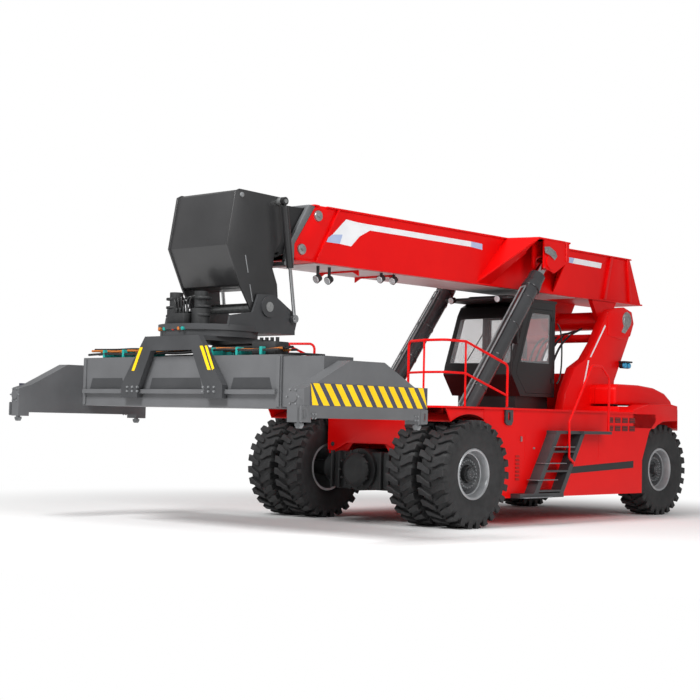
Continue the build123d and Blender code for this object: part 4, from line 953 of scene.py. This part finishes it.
piece("cabLampLenses", lampLens, "chassis",
      [rod(at(x, r - 0.048, z - 0.02), at(x, r - 0.06, z - 0.022), 0.053)
       for x in roofLamps["x"]])
piece("cabMounts", blackAbs, "chassis",
      [block(at(-0.6 + 0.02 * (k % 2), 2.92, 1.86 + 0.028 * k),
             at(0.6 - 0.02 * (k % 2), 3.82, 1.88 + 0.028 * k)) for k in range(6)])
piece("seatArms", redNylon, "chassis",
      [block(at(x - 0.03, 3.30, 2.70), at(x + 0.03, 3.66, 2.73), 0.012) for x in (-0.27, 0.27)])
piece("cabLevers", blackAbs, "chassis",
      [rod(at(0.3, 3.2, 2.6), at(0.3, 3.17, 2.74), 0.01, 0.018, 12),
       rod(at(0.36, 3.2, 2.6), at(0.36, 3.17, 2.72), 0.01, 0.016, 12),
       rod(at(-0.1, 3.0, 2.1), at(-0.1, 3.12, 2.7), 0.035, sides=20)])


def cushion(low, high, crown, cuts=10):
    # a padded block with a crowned face and rolled edges, in metres
    middle = [(a + b) / 2 for a, b in zip(low, high)]
    size = [b - a for a, b in zip(low, high)]
    bpy.ops.object.select_all(action="DESELECT")
    bpy.ops.mesh.primitive_cube_add(size=1, location=(0, 0, 0))
    pad = bpy.context.active_object
    pad.scale = size
    settle(pad)
    inEdit(pad, lambda: bpy.ops.mesh.subdivide(number_cuts=cuts))
    thin = size.index(min(size))
    for vertex in pad.data.vertices:
        place = [2 * c / s for c, s in zip(vertex.co, size)]
        u, v, w = place
        swell = 1 + crown * (1 - max(abs(u), abs(v), abs(w)) ** 6)
        vertex.co.x *= swell * (1 - 0.07 * (v * v * w * w) ** 2)
        vertex.co.y *= swell * (1 - 0.07 * (u * u * w * w) ** 2)
        bulge = (crown * size[thin] * (1 - place[(thin + 1) % 3] ** 2)
                 * (1 - place[(thin + 2) % 3] ** 2))
        if abs(vertex.co[thin]) > 1e-4:
            vertex.co[thin] += math.copysign(bulge, vertex.co[thin])
    soften(pad, 0.012, 3)
    pad.data.transform(Matrix.Translation(middle))
    return pad


for name, low, high, stands in (
        ("seatBase", at(-0.235, 3.26, 2.42), at(0.235, 3.70, 2.54), ["cab_seat"]),
        ("seatBack", at(-0.225, 3.66, 2.56), at(0.225, 3.775, 3.12), [])):
    pad = piece(name, seatCloth, "chassis", [cushion(low, high, 0.25)], stands, 60)
piece("seatPlinth", blackAbs, "chassis",
      [block(at(-0.2, 3.3, 2.1), at(0.2, 3.68, 2.41), 0.03)])
print("cab made")

# hoses from the boom's head into the inner boom, and those between the towers
ropes, runs = [], []
for k in range(4):
    x = 0.30 + 0.05 * k
    ropes.append(hose([(x, -2.86, 3.99), (x, -2.80, 3.93), (x + 0.02, -2.74, 3.93),
                       (x, -2.70, 3.98)], 0.02))
piece("headHoses", hoseRubber, "inner_boom", ropes)
for k in range(5):
    x = -0.3 + 0.14 * k
    runs.append(hose([(x, 4.42, 2.3 + 0.05 * k), (x, 4.6, 2.9), (x + 0.03, 5.0, 3.25),
                      (x + 0.05, 5.35, 3.2 + 0.04 * k)], 0.02))
piece("towerHoses", hoseRubber, "chassis", runs)

camera = {
    "place": (15.893, axleY - 18.02, 1.58), "azimuth": 42.424, "pitch": 2.679,
    "roll": 1.24, "lens": 77.527, "sensor": 36,
}


def aimCamera(c):
    a, e, roll = (math.radians(c[k]) for k in ("azimuth", "pitch", "roll"))
    forward = Vector((-math.sin(a) * math.cos(e), math.cos(a) * math.cos(e), math.sin(e)))
    right = Vector((math.cos(a), math.sin(a), 0))
    up = right.cross(forward)
    right, up = (right * math.cos(roll) + up * math.sin(roll),
                 up * math.cos(roll) - right * math.sin(roll))
    data = bpy.data.cameras.new("camera")
    data.lens, data.sensor_width, data.clip_end = c["lens"], c["sensor"], 400
    eye = bpy.data.objects.new("camera", data)
    turn = Matrix((right, up, -forward)).transposed().to_4x4()
    eye.matrix_world = Matrix.Translation(c["place"]) @ turn
    bpy.context.scene.collection.objects.link(eye)
    bpy.context.scene.camera = eye


aimCamera(camera)


def paleFloor():
    # matt white studio floor: it takes the shadow near the machine, and away from it the camera
    # sees plain white
    material = surface("studioFloor", ("#FAFAFA", "#FFFFFF"), 0.9, 6.0, 0.05, 0.02)
    tree = material.node_tree
    place = addNode(tree, "ShaderNodeTexCoord")
    away = addNode(tree, "ShaderNodeVectorMath", {"operation": "LENGTH"},
                   {0: place.outputs["Object"]})
    fade = addNode(tree, "ShaderNodeMapRange", {"interpolation_type": "SMOOTHSTEP"},
                   {"Value": away.outputs["Value"]}, From_Min=5.0, From_Max=11.0)
    ray = addNode(tree, "ShaderNodeLightPath")
    seen = addNode(tree, "ShaderNodeMath", {"operation": "MULTIPLY"},
                   {0: fade.outputs["Result"], 1: ray.outputs["Is Camera Ray"]})
    glow = addNode(tree, "ShaderNodeEmission")
    mix = addNode(tree, "ShaderNodeMixShader",
                  links={0: seen.outputs[0], 1: tree.nodes["Principled BSDF"].outputs["BSDF"],
                         2: glow.outputs["Emission"]})
    tree.links.new(mix.outputs[0], tree.nodes["Material Output"].inputs["Surface"])
    return material


bpy.ops.object.select_all(action="DESELECT")
bpy.ops.mesh.primitive_plane_add(size=400, location=(0, 0, 0))
floor = bpy.context.active_object
floor.name = "floor"
floor.data.materials.append(paleFloor())

world = bpy.data.worlds.new("studio")
bpy.context.scene.world = world
world.use_nodes = True
sky = world.node_tree
backdrop = sky.nodes["Background"]
ray = addNode(sky, "ShaderNodeLightPath")
strength = addNode(sky, "ShaderNodeMapRange", links={"Value": ray.outputs["Is Camera Ray"]},
                   To_Min=0.36, To_Max=1.0)
backdrop.inputs["Color"].default_value = linear("#FFFFFF")
sky.links.new(strength.outputs["Result"], backdrop.inputs["Strength"])

# one soft box high over the front and a weaker one over the left side: place, size, watts
softBoxes = {"keyLight": ((1, -17, 15), 6.0, 3400), "fillLight": ((17, -6, 11), 8.0, 1500)}
for name, (place, size, watts) in softBoxes.items():
    data = bpy.data.lights.new(name, "AREA")
    data.size, data.energy = size, watts
    lamp = bpy.data.objects.new(name, data)
    bpy.context.scene.collection.objects.link(lamp)
    lamp.location = place
    lamp.rotation_euler = (Vector((0, 0, 1.5)) - Vector(place)).to_track_quat("-Z", "Y").to_euler()
bpy.context.scene.view_settings.view_transform = "Standard"

print("scene ready")
